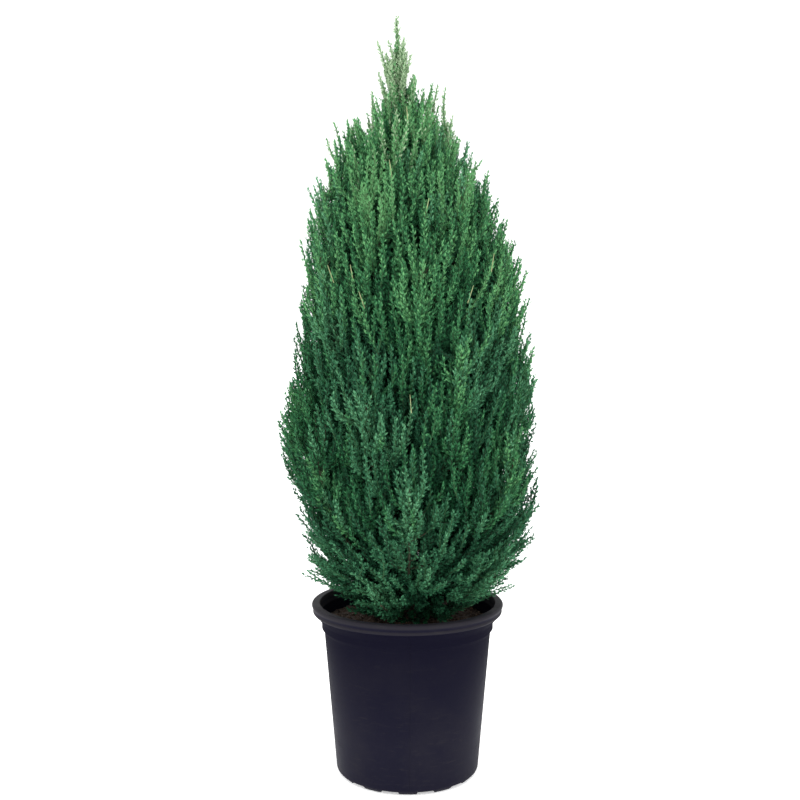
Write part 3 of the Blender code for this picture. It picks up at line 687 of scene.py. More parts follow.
def turned(name, profile, angles, material, shift):
    """A surface of revolution whose ends lie on the axis: (radius cos angle, radius sin angle, height).

    shift(radius, height, angle) moves the rings' points, and the faces point away from the inside.
    """
    inner = np.asarray(profile[1:-1], float)
    radius, angle = np.meshgrid(inner[:, 0], angles, indexing="ij")
    radius, height = shift(radius, np.repeat(inner[:, 1:], len(angles), axis=1), angle)
    rings = np.stack([radius * np.cos(angle), radius * np.sin(angle), height], -1)
    poles = [(0, 0, profile[-1][1]), (0, 0, profile[0][1])]
    return mesh_piece(name, np.concatenate([rings.reshape(-1, 3), poles]), ring_faces(*radius.shape), [material])


def arc(radius, height, size, start, end, steps):
    """Points on a circle of the given size round (radius, height), from start to end degrees."""
    turn = np.radians(np.linspace(start, end, steps))
    return np.stack([radius + size * np.cos(turn), height + size * np.sin(turn)], -1)


def line(start, end, steps):
    """Points from start up to but not including end."""
    share = np.linspace(0, 1, steps, endpoint=False)[:, None]
    return np.asarray(start) + (np.asarray(end) - np.asarray(start)) * share


# Pot and soil


def pot_profile():
    """(radius, height) round the pot's wall: from the middle of its underside up the outside to the rim and back."""
    lower_bead = arc(RIM_RADIUS - 0.0050, POT_HEIGHT - 0.0152, 0.0030, -80, 50, 9)
    upper_bead = arc(RIM_RADIUS - 0.0042, POT_HEIGHT - 0.0045, 0.0042, -48, 88, 12)
    lip = arc(RIM_MOUTH_RADIUS + 0.0018, POT_HEIGHT - 0.0022, 0.0018, 92, 190, 7)
    outside = [
        [(0, 0)],
        line((0.02, 0), (NOTCH_INNER_RADIUS - 0.0004, 0), 5),
        [(NOTCH_INNER_RADIUS - 0.0004, 0)],
        line((NOTCH_INNER_RADIUS, 0), (FOOT_RADIUS - 0.002, 0), 4),
        arc(FOOT_RADIUS - 0.002, 0.002, 0.002, -90, -50, 4),
        arc(WALL_FOOT_RADIUS - 0.0085, CORNER_HEIGHT, 0.0085, -42, 0, 7),
        line((WALL_FOOT_RADIUS + 0.0002, CORNER_HEIGHT + 0.003), (WALL_TOP_RADIUS, WALL_TOP), 26),
        [(WALL_TOP_RADIUS, WALL_TOP), (WALL_TOP_RADIUS + 0.0006, WALL_TOP + 0.0012)],
        [(NECK_RADIUS - 0.0008, NECK_BOTTOM - 0.0012), (NECK_RADIUS, NECK_BOTTOM), (NECK_RADIUS, NECK_BOTTOM + 0.001)],
        [(NECK_RADIUS, NECK_TOP - 0.001), (NECK_RADIUS + 0.0003, NECK_TOP), (NECK_RADIUS + 0.0015, NECK_TOP + 0.002)],
        line((NECK_RADIUS + 0.003, NECK_TOP + 0.004), (RIM_RADIUS - 0.0055, POT_HEIGHT - 0.0185), 4),
        lower_bead,
        upper_bead,
        line((RIM_RADIUS - 0.0046, POT_HEIGHT - 0.0003), (RIM_MOUTH_RADIUS + 0.002, POT_HEIGHT - 0.0005), 4),
        lip,
    ]
    inside = [
        line((RIM_MOUTH_RADIUS - 0.0002, POT_HEIGHT - 0.004), (NECK_RADIUS - WALL, NECK_TOP), 8),
        line((NECK_RADIUS - WALL, NECK_TOP), (WALL_TOP_RADIUS - WALL, WALL_TOP), 3),
        line((WALL_TOP_RADIUS - WALL, WALL_TOP), (WALL_FOOT_RADIUS - WALL, GUTTER), 4),
        [(WALL_FOOT_RADIUS - WALL, GUTTER), (NOTCH_INNER_RADIUS - FLOOR, GUTTER)],
        [(NOTCH_INNER_RADIUS - 3 * FLOOR, FLOOR), (0, FLOOR)],
    ]
    return np.concatenate([np.asarray(part, float) for part in outside + inside])


def pot_angles():
    """Angles round the pot, closer together at the edges of the drain notches and at the mould's seams."""
    half = math.tau / FEET / 4
    edge = math.radians(0.25)
    within = np.concatenate([
        np.linspace(-half + edge, half - edge, 11),
        np.linspace(half + edge, 3 * half - edge, 11),
    ])
    angles = (np.arange(FEET)[:, None] * math.tau / FEET + within).ravel() + math.tau / FEET / 2
    seam = SEAM_ANGLE + np.radians((-0.3, -0.12, 0, 0.12, 0.3))
    return np.sort(np.mod(np.concatenate([angles, seam, seam + math.pi]), math.tau))


def notched(lip):
    """How the pot's points move: the underside rises between the feet, and the mould's two seams stand out."""
    step = math.tau / FEET

    def shift(radius, height, angle):
        off = np.abs(np.mod(angle, step) - step / 2)
        notch = (off < step / 4) & (radius > NOTCH_INNER_RADIUS - 0.0002) & (height < FOOT_HEIGHT)
        outer = radius > WALL_FOOT_RADIUS - WALL / 2
        near = np.abs(np.mod(angle - SEAM_ANGLE + math.pi / 2, math.pi) - math.pi / 2)
        seam = np.clip(1 - near / SEAM_WIDTH, 0, 1) * outer * (height < SEAM_TOP)
        return radius + lip * seam, np.where(notch, FOOT_HEIGHT, height)

    return shift


class JUNIPER_OT_pot(bpy.types.Operator):
    """Builds the pot: a tapered wall with a neck, a rim of two beads, and notches between twelve feet"""

    bl_idname = "juniper.pot"
    bl_label = "Pot"

    def execute(self, context):
        settings = context.scene.juniper.pot
        shift = notched(settings.seam)
        piece = turned("nursery_pot", pot_profile(), pot_angles(), plastic_finish(settings), shift)
        settled(piece, "pot_plastic", "pot")
        return {"FINISHED"}


def lumps(x, y, height):
    """A lumpy surface: the sum of sine waves that run every way, five of each length and its height."""
    rng = np.random.default_rng(SEED)
    total = np.zeros_like(x)
    for size, share in LUMPS:
        for _ in range(5):
            turn, phase = rng.uniform(0, math.tau, 2)
            wave = (x * math.cos(turn) + y * math.sin(turn)) * math.tau / size * rng.uniform(0.8, 1.25)
            total += share * np.sin(wave + phase) / 2
    return total * height


def soil_height(x, y, lump):
    """The soil's surface: level, with a low mound in the middle."""
    away = np.hypot(x, y)
    mound = SOIL_MOUND * np.clip((2 * MOUND_RADIUS - away) / MOUND_RADIUS, 0, 1)
    return SOIL_TOP - SOIL_SUNK + mound + lumps(x, y, lump)


class JUNIPER_OT_soil(bpy.types.Operator):
    """Builds the potting mix with the bark chips that lie on it"""

    bl_idname = "juniper.soil"
    bl_label = "Soil"

    def execute(self, context):
        settings = context.scene.juniper.soil
        radii = np.linspace(0.002, SOIL_RADIUS, SOIL_RINGS)[::-1]
        profile = np.concatenate([
            [(0, GUTTER + CLEARANCE), (WALL_FOOT_RADIUS - WALL - SOIL_GAP, GUTTER + CLEARANCE)],
            [(WALL_TOP_RADIUS - WALL - SOIL_GAP, WALL_TOP)],
            [(radius, SOIL_TOP) for radius in radii],
            [(0, SOIL_TOP + SOIL_MOUND)],
        ])

        def shift(radius, height, angle):
            top = soil_height(radius * np.cos(angle), radius * np.sin(angle), settings.lumps)
            return radius, np.where(height > SOIL_TOP - 1e-6, top, height)

        surface = soil_finish("potting mix", settings.colour)
        settled(turned("potting_mix", profile, round_angles(SOIL_SIDES), surface, shift), "potting_mix", "soil")
        self.chips(settings)
        return {"FINISHED"}

    def chips(self, settings):
        """Flattened eight-sided chips turned every way, sunk a little into the surface."""
        rng = np.random.default_rng(CHIP_SEED)
        count = settings.chips
        away = SOIL_RADIUS * 0.97 * np.sqrt(rng.uniform(0.01, 1, count))
        turn = rng.uniform(0, math.tau, count)
        x, y = away * np.cos(turn), away * np.sin(turn)
        size = settings.chip_length * rng.uniform(0.3, 1.0, count) ** 1.5
        corners = CHIP_CORNERS * rng.uniform(0.6, 1.3, (count, 6, 3)) * size[:, None, None]
        axes = np.linalg.qr(rng.normal(size=(count, 3, 3)) * (1, 1, 0.45))[0]
        corners = np.einsum("nij,nkj->nki", axes, corners)
        corners += np.stack([x, y, soil_height(x, y, settings.lumps) + size * 0.1], -1)[:, None]
        mirrored = (np.linalg.det(axes) < 0)[:, None, None]
        faces = np.where(mirrored, CHIP_FACES[:, ::-1], CHIP_FACES) + (np.arange(count) * 6)[:, None, None]
        tint = np.repeat(rng.integers(0, 3, count), len(CHIP_FACES))
        colours = [settings.chip_colour, scaled(settings.chip_colour, 0.5), settings.colour]
        surfaces = [soil_finish(f"chip {i + 1}", colour) for i, colour in enumerate(colours)]
        piece = mesh_piece("bark_chips", corners, faces.reshape(-1, 3), surfaces, tint, smooth=False)
        settled(piece, "potting_mix")


# Trunk and limbs


def trunk_axis(height):
    """The trunk's middle: a slow sway that leans towards the leader's tip."""
    height = np.asarray(height, float)
    share = (height - TRUNK_FOOT) / (TRUNK_TOP - TRUNK_FOOT)
    x = TRUNK_LEAN * share**2 + TRUNK_SWAY * np.sin(math.tau * share)
    y = TRUNK_SWAY * np.sin(SWAY_TURNS * math.tau * share)
    return np.stack([x, y, height], -1)


def blended(points, t):
    """Neighbouring points blended by t, again and again until one is left, which lies on their smooth curve."""
    points, t = np.moveaxis(points, -2, 0), np.asarray(t)[..., None]
    while len(points) > 1:
        points = points[:-1] * (1 - t) + points[1:] * t
    return points[0]


class Curves:
    """Curves of three or four control points, each on a limb."""

    def __init__(self, limb, controls):
        self.limb = limb
        self.controls = controls
        self.rows = np.arange(len(limb))[:, None]

    def at(self, row, t):
        """A point on each curve."""
        return blended(self.controls[row], t)

    def along(self, row, t):
        """The direction of the curve there, blended from the ways between its control points."""
        return unit(blended(np.diff(self.controls[row], axis=-2), t))

    def places(self, start, end, count):
        """So many points on every curve, from one share of the way along it to another."""
        return self.at(self.rows, np.linspace(start, end, count)).reshape(-1, 3)


class Limbs(Curves):
    """Every limb's path: a curve of four control points that leaves the trunk, spreads out and turns up."""

    def __init__(self):
        names, tiers, starts, tips = [], [], [], []
        for tier in TIERS:
            rng = random.Random(SEED + len(names))
            for k in range(tier.count):
                order = (k // 2 + k % 2 * ((tier.count + 1) // 2)) / tier.count
                attach = tier.attach + tier.span * order
                angle = math.radians(tier.angle) + math.tau * k / tier.count
                angle += rng.uniform(-ANGLE_JITTER, ANGLE_JITTER)
                height = tier.tip + tier.tip_span * (order - 0.5) + rng.uniform(-HEIGHT_JITTER, HEIGHT_JITTER)
                radius = tier.radius * rng.uniform(1 - SPREAD_JITTER, 1 + SPREAD_JITTER)
                middle = np.interp(height, *CROWN_SHIFTS)
                names.append(f"{tier.name}_{k + 1}")
                tiers.append(tier)
                starts.append(trunk_axis(attach))
                tips.append((middle + radius * math.cos(angle), radius * math.sin(angle), height))
        names.append("leader")
        tiers.append(LEADER)
        starts.append(trunk_axis(LEADER.attach))
        tips.append((TIP_LEAN, trunk_axis(TRUNK_TOP)[1], LEADER.tip))
        self.names = names
        self.tier_index = np.array([[*TIERS, LEADER].index(tier) for tier in tiers])
        self.spread = np.array([tier.radius for tier in tiers])
        self.bare = np.array([tier.bough_share for tier in tiers])
        self.rod = np.array([END_ROD * (2 if tier is LEADER else 1) for tier in tiers])
        start, tip = np.array(starts), np.array(tips)
        outward = (tip - start) * (1, 1, 0)
        rise = (tip - start) * (0, 0, 1)
        bends = [start + outward * out + rise * up for out, up in ((SPREAD_OUT, SPREAD_UP), (TURN_OUT, TURN_UP))]
        super().__init__(np.arange(len(names)), np.stack([start, *bends, tip], axis=1))
        far = np.linalg.norm(outward, axis=1, keepdims=True) > STEM_RADIUS * 4
        self.outward = np.where(far, unit(outward), np.array((0.0, -1.0, 0.0)))
        self.t = np.linspace(0, 1, 60)
        path = self.at(self.rows, self.t)
        steps = np.linalg.norm(np.diff(path, axis=1), axis=-1)
        self.gone = np.concatenate([np.zeros((len(names), 1)), np.cumsum(steps, axis=1)], axis=1)
        self.lengths = (self.gone * (depth_in_crown(path) > -LIMB_STRAY)).max(1)

    def frame(self, limb, t):
        """(along, outward, across), outward square to along on the side away from the trunk."""
        along = self.along(limb, t)
        outward = self.outward[limb]
        outward = unit(outward - along * np.sum(outward * along, -1, keepdims=True))
        return along, outward, np.cross(along, outward)

    def t_at(self, limb, distance):
        """The place on its curve where each limb has come the distance from its root."""
        t = np.empty(len(limb))
        for index in np.unique(limb):
            own = limb == index
            t[own] = np.interp(distance[own], self.gone[index], self.t)
        return t

    def radius(self, limb, t):
        """The limb's thickness: the bough's taper, and then its plume's stem's."""
        bare = self.bare[limb]
        slim = np.maximum(STEM_TIP_RADIUS, STEM_SLENDERNESS * self.spread[limb])
        foot = np.where(bare > 0, STEM_RADIUS, slim)
        stem = foot + (STEM_TIP_RADIUS - foot) * (t - bare) / (1 - bare)
        bough = BOUGH_RADIUS + (BOUGH_TIP_RADIUS - BOUGH_RADIUS) * t / np.maximum(bare, 1e-6)
        return np.where(t < bare, bough, stem)


def nearest(away):
    """Where each row's smallest distance is, and by how much it is smaller than the next."""
    order = np.sort(away, axis=1)
    return away.argmin(1), order[:, 1] - order[:, 0]


class Spaces:
    """Each limb's space: the points nearer to it than to the other limbs."""

    def __init__(self, limbs):
        self.points = limbs.at(limbs.rows, SPACE_PLACES)

    def owner(self, points):
        """The limb whose space each point lies in, and how much nearer that limb is than the next."""
        limb, lead = np.empty(len(points), int), np.empty(len(points))
        for start in range(0, len(points), SPACE_BATCH):
            part = slice(start, start + SPACE_BATCH)
            away = np.linalg.norm(points[part, None, None] - self.points, axis=-1).min(2)
            limb[part], lead[part] = nearest(away)
        return limb, lead


def outline_at(height):
    """(middle, half width) of the crown's outline."""
    left = np.interp(height, OUTLINE_HEIGHTS, OUTLINE_LEFT)
    right = np.interp(height, OUTLINE_HEIGHTS, OUTLINE_RIGHT)
    return (right - left) / 2, (right + left) / 2


def outward_at(points):
    """Level directions away from the crown's middle, and how far away each point is."""
    middle, _ = outline_at(points[:, 2])
    away = np.stack([points[:, 0] - middle, points[:, 1], np.zeros(len(points))], axis=1)
    return unit(away), np.linalg.norm(away, axis=1)


def sunk(points, depth):
    """The points moved towards the crown's middle, no further than to it."""
    outward, away = outward_at(points)
    return points - outward * np.minimum(depth, away)[:, None]


def depth_in_crown(points):
    """How far inside the crown's outline a point lies, level with it."""
    middle, half = outline_at(points[..., 2])
    away = np.hypot(points[..., 0] - middle, points[..., 1])
    return np.minimum(half - away, CROWN_TOP - points[..., 2])


def bark_relief(height, angle, depth):
    """Long ridges that wander round the stem: folded sine waves of the angle, bent by the height."""
    wander = 1.4 * np.sin(height * 21) + 0.8 * np.sin(height * 47 + 1)
    ridges = 1 - 2 * np.abs(np.sin(2.5 * angle + wander))
    fine = 1 - 2 * np.abs(np.sin(5.5 * angle - wander + height * 60))
    flakes = np.sin(9 * angle + height * 130) * np.sin(height * 210 - 3 * angle)
    return depth * (0.55 * ridges + 0.3 * fine + 0.25 * flakes)


class JUNIPER_OT_trunk(bpy.types.Operator):
    """Builds the trunk, with bark in ridges, a root flare and the boughs that leave it"""

    bl_idname = "juniper.trunk"
    bl_label = "Trunk and boughs"

    def execute(self, context):
        settings = context.scene.juniper.bark
        bark = bark_finish(settings)
        self.trunk(settings.relief, bark)
        self.boughs(settings.relief, bark)
        return {"FINISHED"}

    def trunk(self, relief, bark):
        """A tapering tube, its rings closer together low down, with a flare of lobes that dies away upwards."""
        angles = round_angles(TRUNK_SIDES)
        height = TRUNK_FOOT + (TRUNK_TOP - TRUNK_FOOT) * np.linspace(0, 1, TRUNK_RINGS) ** RING_CROWDING
        share = (height - TRUNK_FOOT) / (TRUNK_TOP - TRUNK_FOOT)
        radius = TRUNK_RADIUS + (TRUNK_TIP_RADIUS - TRUNK_RADIUS) * share
        flare = FLARE * np.exp(-(height - TRUNK_FOOT) / FLARE_HEIGHT)
        lobes = 1 - LOBE_DEPTH + LOBE_DEPTH * np.cos(FLARE_LOBES * angles)
        ridges = bark_relief(height[:, None], angles, relief) * (radius / TRUNK_RADIUS)[:, None]
        shape = tubes(trunk_axis(height)[None], radius[None], TRUNK_SIDES, (flare[:, None] * lobes + ridges)[None])
        settled(mesh_piece("bark_trunk", *shape, [bark]), "bark", "trunk")

    def boughs(self, relief, bark):
        """Tubes along the bare part of the limbs that have one, each ridged in its own way."""
        limbs = Limbs()
        boughs = np.flatnonzero(limbs.bare > 0)
        t = np.linspace(0.0, 1.0, BOUGH_RINGS) * limbs.bare[boughs][:, None]
        place = t[..., None] * RIDGE_TURN + boughs[:, None, None]
        ridges = bark_relief(place, round_angles(BOUGH_SIDES), relief * BOUGH_RELIEF)
        shape = tubes(limbs.at(boughs[:, None], t), limbs.radius(boughs[:, None], t), BOUGH_SIDES, ridges)
        settled(mesh_piece("bark_boughs", *shape, [bark]), "bark", *(f"bough_{limbs.names[i]}" for i in boughs))


# Foliage


class Shoots(Curves):
    """Members of one order of branching: curves of a root, a bend and a tip, and how light each is."""

    def __init__(self, limb, controls, tone=None):
        super().__init__(limb, controls)
        self.tone = np.zeros(len(limb)) if tone is None else tone
        self.roots, bends, self.tips = np.moveaxis(controls, 1, 0)
        ways = (bends - self.roots, self.tips - bends, self.tips - self.roots)
        # The mean of the way straight on and the way over the bend
        self.lengths = sum(np.linalg.norm(way, axis=-1) for way in ways) / 2


def through(limb, start, middle, end):
    """Shoots that go through three points each."""
    return Shoots(limb, np.stack([start, 2 * middle - (start + end) / 2, end], axis=1))


def together(groups):
    """Several groups of shoots as one."""
    parts = [(group.limb, group.controls, group.tone) for group in groups]
    return Shoots(*(np.concatenate(part) for part in zip(*parts)))


def squared(along, azimuth):
    """A direction square to along, at the given azimuth round it."""
    side = unit(np.cross(along, np.where(np.abs(along[..., 2:]) < 0.9, UP, SIDEWAYS)))
    up = np.cross(side, along)
    return side * np.cos(azimuth)[..., None] + up * np.sin(azimuth)[..., None]


def leaving(along, radial, tilt):
    """A direction tilted away from along towards radial."""
    return along * np.cos(tilt)[..., None] + radial * np.sin(tilt)[..., None]


def rooted(wish, tip, places, drop, further=0.0):
    """The place nearest to each wish. One that isn't lower than the tip by drop counts as further away."""
    away = np.linalg.norm(wish[:, None] - places, axis=-1)
    away += DROP_WEIGHT * np.maximum(places[:, 2] - tip[:, None, 2] + drop, 0)
    away += further
    return places[away.argmin(1)]


def arched(root, tip, heading, share):
    """Control points of curves from root to tip, where they arrive along the heading."""
    reach = np.linalg.norm(tip - root, axis=1)
    return np.stack([root, tip - heading * (share * reach)[:, None], tip], axis=1)


class Crown:
    """The branches, sprays and twiglets of the whole tree, in that order of growth."""

    def __init__(self, settings):
        self.rng = np.random.default_rng(SEED)
        self.limbs = Limbs()
        self.spaces = Spaces(self.limbs)
        self.branches = self.grow_branches(settings)
        self.sprays = self.grow_sprays(settings)
        self.twiglets = self.grow_twiglets(settings)

    def ends(self, rise, step, depth):
        """Points spread evenly over the crown at a depth below its surface, deeper on the borders of limbs' spaces.

        They lie on rings one rise apart, a step from one to the next, each moved at random within its
        gap. Returns their limbs, the points and how much darker the borders make them.
        """
        rng = self.rng
        heights = np.arange(CROWN_FOOT, CROWN_TOP - max(depth, 0), rise)
        _, half = outline_at(heights)
        ring, order = spread(np.maximum(1, np.round(math.tau * (half - depth) / step)).astype(int))
        keep = (half > depth)[ring]
        ring, order = ring[keep], order[keep]
        count = len(ring)
        height = heights[ring] + rng.uniform(-RISE_STRAY, RISE_STRAY, count) * rise
        middle, half = outline_at(height)
        reach = half - depth + rng.uniform(-DEPTH_STRAY, DEPTH_STRAY, count) * step
        angle = order + 0.5 * ring + rng.uniform(-ANGLE_STRAY, ANGLE_STRAY, count)
        angle = angle * step / np.maximum(half - depth, step)
        points = np.stack([middle + reach * np.cos(angle), reach * np.sin(angle), height], axis=1)
        _, lead = self.spaces.owner(points)
        groove = GROOVE * np.clip(1 - depth / GROOVE_FLOOR, 0, 1)
        points = sunk(points, groove * np.clip(1 - lead / GROOVE_WIDTH, 0, 1))
        limb, _ = self.spaces.owner(points)
        return limb, points, -BORDER_SHADE * np.clip(1 - lead / BORDER_WIDTH, 0, 1)

    def layers_of_ends(self, rise, step, layers):
        """The same for several layers, each with its own spacing and depth."""
        made = [self.ends(rise, step * spacing, depth) for spacing, depth in layers]
        return (np.concatenate(parts) for parts in zip(*made))

    def grow_branches(self, settings):
        """Side branches from each limb to points inside its space, each from where it slants most nearly as wanted."""
        limbs = self.limbs
        limb, tip, _ = self.layers_of_ends(settings.branch_rise, settings.branch_spacing, BRANCH_LAYERS)
        leafy = (limbs.lengths - limbs.rod)[limb]
        t = np.stack([limbs.t_at(limb, share * leafy) for share in BRANCH_STARTS], axis=1)
        roots = limbs.at(limb[:, None], t)
        away = tip[:, None] - roots
        distance = np.linalg.norm(away, axis=-1)
        wanted = np.interp(tip[:, 2], *BRANCH_SLANT)[:, None]
        cost = distance * (1 + SLANT_WEIGHT * np.abs(away[..., 2] / distance - wanted))
        root = roots[np.arange(len(tip)), cost.argmin(1)]
        return Shoots(limb, np.stack([root, root + (tip - root) * BRANCH_BEND, tip], axis=1))

    def heading(self, points):
        """Which way shoots point: outward low in the crown and upright higher up, with some scatter."""
        outward, _ = outward_at(points)
        up, out = (np.interp(points[:, 2], *table)[:, None] for table in (HEADING_UP, HEADING_OUT))
        return unit(UP * up + outward * out + self.rng.normal(0, HEADING_SCATTER, (len(points), 3)))

    def plumelets(self, limb, tip, hearts):
        """The branch of its limb whose heart is nearest to each tip, and how much nearer it is than the next."""
        branch, lead = np.empty(len(limb), int), np.empty(len(limb))
        for index in range(len(self.limbs.names)):
            own, mine = limb == index, np.flatnonzero(self.branches.limb == index)
            away = np.linalg.norm((tip[own, None] - hearts[mine]) * PLUMELET_METRIC, axis=-1)
            which, lead[own] = nearest(np.concatenate([away, np.full((len(away), 1), 1.0)], axis=1))
            branch[own] = mine[which]
        return branch, lead

    def grow_sprays(self, settings):
        """Sprays that end spread evenly through the crown's outer part, from the branch whose end is nearest.

        Those of one branch make a plume of their own, sunk and in painted shade at its border, and painted lighter
        towards its top. With them go the leafy parts of limbs and branches, the plumes' tips, the lone shoots and the
        fillers.
        """
        rng, branches = self.rng, self.branches
        limb, tip, shade = self.layers_of_ends(settings.spray_rise, settings.spray_spacing, SPRAY_LAYERS)
        hearts = branches.tips - UP * PLUMELET_DROP
        branch, lead = self.plumelets(limb, tip, hearts)
        border = np.clip(1 - lead / RELIEF_WIDTH, 0, 1)
        tip = sunk(tip, RELIEF * border)
        heading = self.heading(tip)
        length = settings.spray_length * np.interp(tip[:, 2], *SPRAY_STRETCH)
        wish = tip - heading * (length * rng.uniform(*SPRAY_LENGTHS, len(limb)))[:, None]
        root = np.empty_like(tip)
        for index in range(len(self.limbs.names)):
            own, mine = limb == index, np.flatnonzero(branches.limb == index)
            places = branches.at(mine[:, None], SPRAY_STARTS).reshape(-1, 3)
            other = branch[own, None] != np.repeat(mine, len(SPRAY_STARTS))
            root[own] = rooted(wish[own], tip[own], places, SPRAY_DROP, OTHER_BRANCH * other)
        controls = arched(root, tip, heading, SPRAY_ARCH)
        height = np.clip((tip[:, 2] - hearts[branch, 2]) / settings.branch_rise, -TONE_HEIGHT, TONE_HEIGHT)
        tone = rng.normal(0, BRANCH_TONE, len(branches.limb))[branch] + TOP_TONE * height
        tone += shade - BORDER_SHADE * 0.5 * border
        reach = np.linalg.norm(tip - root, axis=1)
        keep = (reach > SPRAY_REACH[0]) & (reach < SPRAY_REACH[1])
        sprays = Shoots(limb[keep], controls[keep], tone[keep])
        grown = together([
            sprays, self.leafy_limbs(), self.leafy_branches(), self.plume_tips(settings), self.lone_shoots()
        ])
        return together([grown, self.fillers(grown)])

    def fillers(self, grown):
        """A spray through each cell of the crown's inner part that no other spray comes through."""
        counts = np.ceil((FILL_HIGH - FILL_LOW) / FILL_CELL).astype(int)
        filled = np.zeros(counts, bool)
        cell = np.floor((grown.places(0.1, 1, 8) - FILL_LOW) / FILL_CELL).astype(int)
        cell = cell[((cell >= 0) & (cell < counts)).all(1)]
        filled[tuple(cell.T)] = True
        places = FILL_LOW + (np.argwhere(~filled) + 0.5) * FILL_CELL
        depth = depth_in_crown(places)
        inside = (depth > np.interp(places[:, 2], *FILL_DEPTH)) & (depth < FILL_REACH)
        places, depth = places[inside], depth[inside]
        places = places + self.rng.uniform(-FILL_STRAY, FILL_STRAY, places.shape) * FILL_CELL
        tip = places + self.heading(places) * FILL_CELL[2] * FILL_RISE
        limb, _ = self.spaces.owner(tip)
        wish = tip - self.heading(tip) * FILL_CELL[2] * FILL_LENGTH
        starts = grown.places(0.3, 0.9, 3)
        parts = [slice(start, start + FILL_BATCH) for start in range(0, len(tip), FILL_BATCH)]
        root = np.concatenate([rooted(wish[part], tip[part], starts, SPRAY_DROP) for part in parts])
        return Shoots(limb, arched(root, tip, self.heading(tip), FILL_ARCH), np.interp(depth, *FILL_TONES))

    def leafy_limbs(self):
        """The outer part of each limb in short pieces, each through three points on the limb."""
        limbs = self.limbs
        pieces = np.ceil(LEAFY_SHARE * limbs.lengths / LEAFY_PIECE)
        limb, order = spread(pieces.astype(int))
        total = limbs.lengths[limb]
        step = LEAFY_SHARE * total / pieces[limb]
        places = [(1 - LEAFY_SHARE) * total + step * (order + k) for k in (0, 0.5, 1)]
        return through(limb, *(limbs.at(limb, limbs.t_at(limb, place)) for place in places))

    def leafy_branches(self):
        """The outer half of each side branch."""
        branches = self.branches
        return through(branches.limb, *(branches.at(branches.rows[:, 0], share) for share in (0.5, 0.75, 1)))

    def plume_tips(self, settings):
        """Short sprays round the last part of each limb, which close its plume to a point."""
        rng, limbs = self.rng, self.limbs
        limb, order = spread(np.full(len(limbs.names), PLUME_TIP_SPRAYS))
        place = limbs.lengths[limb] - limbs.rod[limb] - PLUME_TIP * (order + 0.5) / PLUME_TIP_SPRAYS
        t = limbs.t_at(limb, place)
        along, outward, across = limbs.frame(limb, t)
        azimuth = order * GOLDEN_ANGLE + limb * 2
        radial = outward * np.cos(azimuth)[:, None] + across * np.sin(azimuth)[:, None]
        direction = leaving(along, radial, np.radians(rng.uniform(*PLUME_TIP_TILTS, len(limb))))
        length = (settings.spray_length * rng.uniform(*PLUME_TIP_LENGTHS, len(limb)))[:, None]
        root = limbs.at(limb, t)
        bend = root + direction * length / 2
        tip = bend + unit(direction + along * PLUME_TIP_TURN) * length / 2
        # They take the painted light of the plumes' tops
        return Shoots(limb, np.stack([root, bend, tip], axis=1), np.full(len(limb), TOP_TONE))

    def lone_shoots(self):
        """The slim shoots that stand out, each from the nearest branch or limb below it."""
        tip = np.array(LONE_SHOOTS)
        limb, _ = self.spaces.owner(tip)
        heading = self.heading(tip)
        places = np.concatenate([self.branches.places(0.2, 1, 12), self.limbs.places(0.3, 0.95, 30)])
        root = rooted(tip - heading * LONE_SHOOT_LENGTH, tip, places, LONE_SHOOT_DROP)
        # They take the painted light of the plumes' tops
        return Shoots(limb, arched(root, tip, heading, LONE_SHOOT_ARCH), np.full(len(tip), TOP_TONE))

    def grow_twiglets(self, settings):
        """Twiglets round each spray at the golden angle, shorter towards its tip, each turning up along it."""
        rng, sprays = self.rng, self.sprays
        spacing = settings.twiglet_spacing * np.interp(sprays.tips[:, 2], *TWIGLET_SPACING)
        counts = np.maximum(1, np.floor(sprays.lengths / spacing)).astype(int)
        row, order = spread(counts)
        share = TWIGLET_START + (1 - TWIGLET_START) * (order + 0.5) / counts[row]
        along = sprays.along(row, share)
        tilt = np.where(order == counts[row] - 1, END_TILT, np.radians(rng.uniform(*TWIGLET_TILTS, len(row))))
        direction = leaving(along, squared(along, order * GOLDEN_ANGLE + row), tilt)
        length = settings.twiglet_length * (TWIGLET_TAPER[0] - TWIGLET_TAPER[1] * share)
        half = (length * rng.uniform(*TWIGLET_LENGTHS, len(row)) / 2)[:, None]
        root = sprays.at(row, share)
        bend = root + direction * half
        tip = bend + unit(direction + along * TWIGLET_TURN) * half
        made = Shoots(sprays.limb[row], np.stack([root, bend, tip], axis=1))
        made.spray = row
        made.share = share
        return made


Needles = namedtuple("Needles", "row share base direction side")


def needle_rows(shoots, spacing, first, angle, rng):
    """Needles along shoots at the golden angle, which close in from the angle towards the tip.

    Each has its shoot's row, its share of the way along it, its base, its direction and its broad side.
    """
    counts = np.maximum(2, np.round(shoots.lengths * (1 - first) / spacing)).astype(int)
    row, order = spread(counts)
    share = first + (1 - first) * (order + 0.5) / counts[row]
    along = shoots.along(row, share)
    radial = squared(along, order * GOLDEN_ANGLE + row * 1.7)
    tilt = angle + (TIP_ANGLE - angle) * share**3 + rng.uniform(-ANGLE_SCATTER, ANGLE_SCATTER, len(row))
    direction = leaving(along, radial, tilt)
    return Needles(row, share, shoots.at(row, share), direction, unit(np.cross(direction, radial)))


def needle_mesh(base, direction, side, length, width):
    """A kite of two faces for each needle, folded along its middle: base, left, tip and right corners."""
    length, width = length[:, None], width[:, None]
    fold = np.cross(side, direction) * width * NEEDLE_FOLD
    broad = base + direction * length * NEEDLE_BELLY + fold
    corners = np.stack([base, broad + side * width / 2, base + direction * length, broad - side * width / 2], axis=1)
    faces = (np.arange(len(base)) * 4)[:, None, None] + np.array([(0, 1, 2), (0, 2, 3)])
    return corners.reshape(-1, 3), faces.reshape(-1, 3)


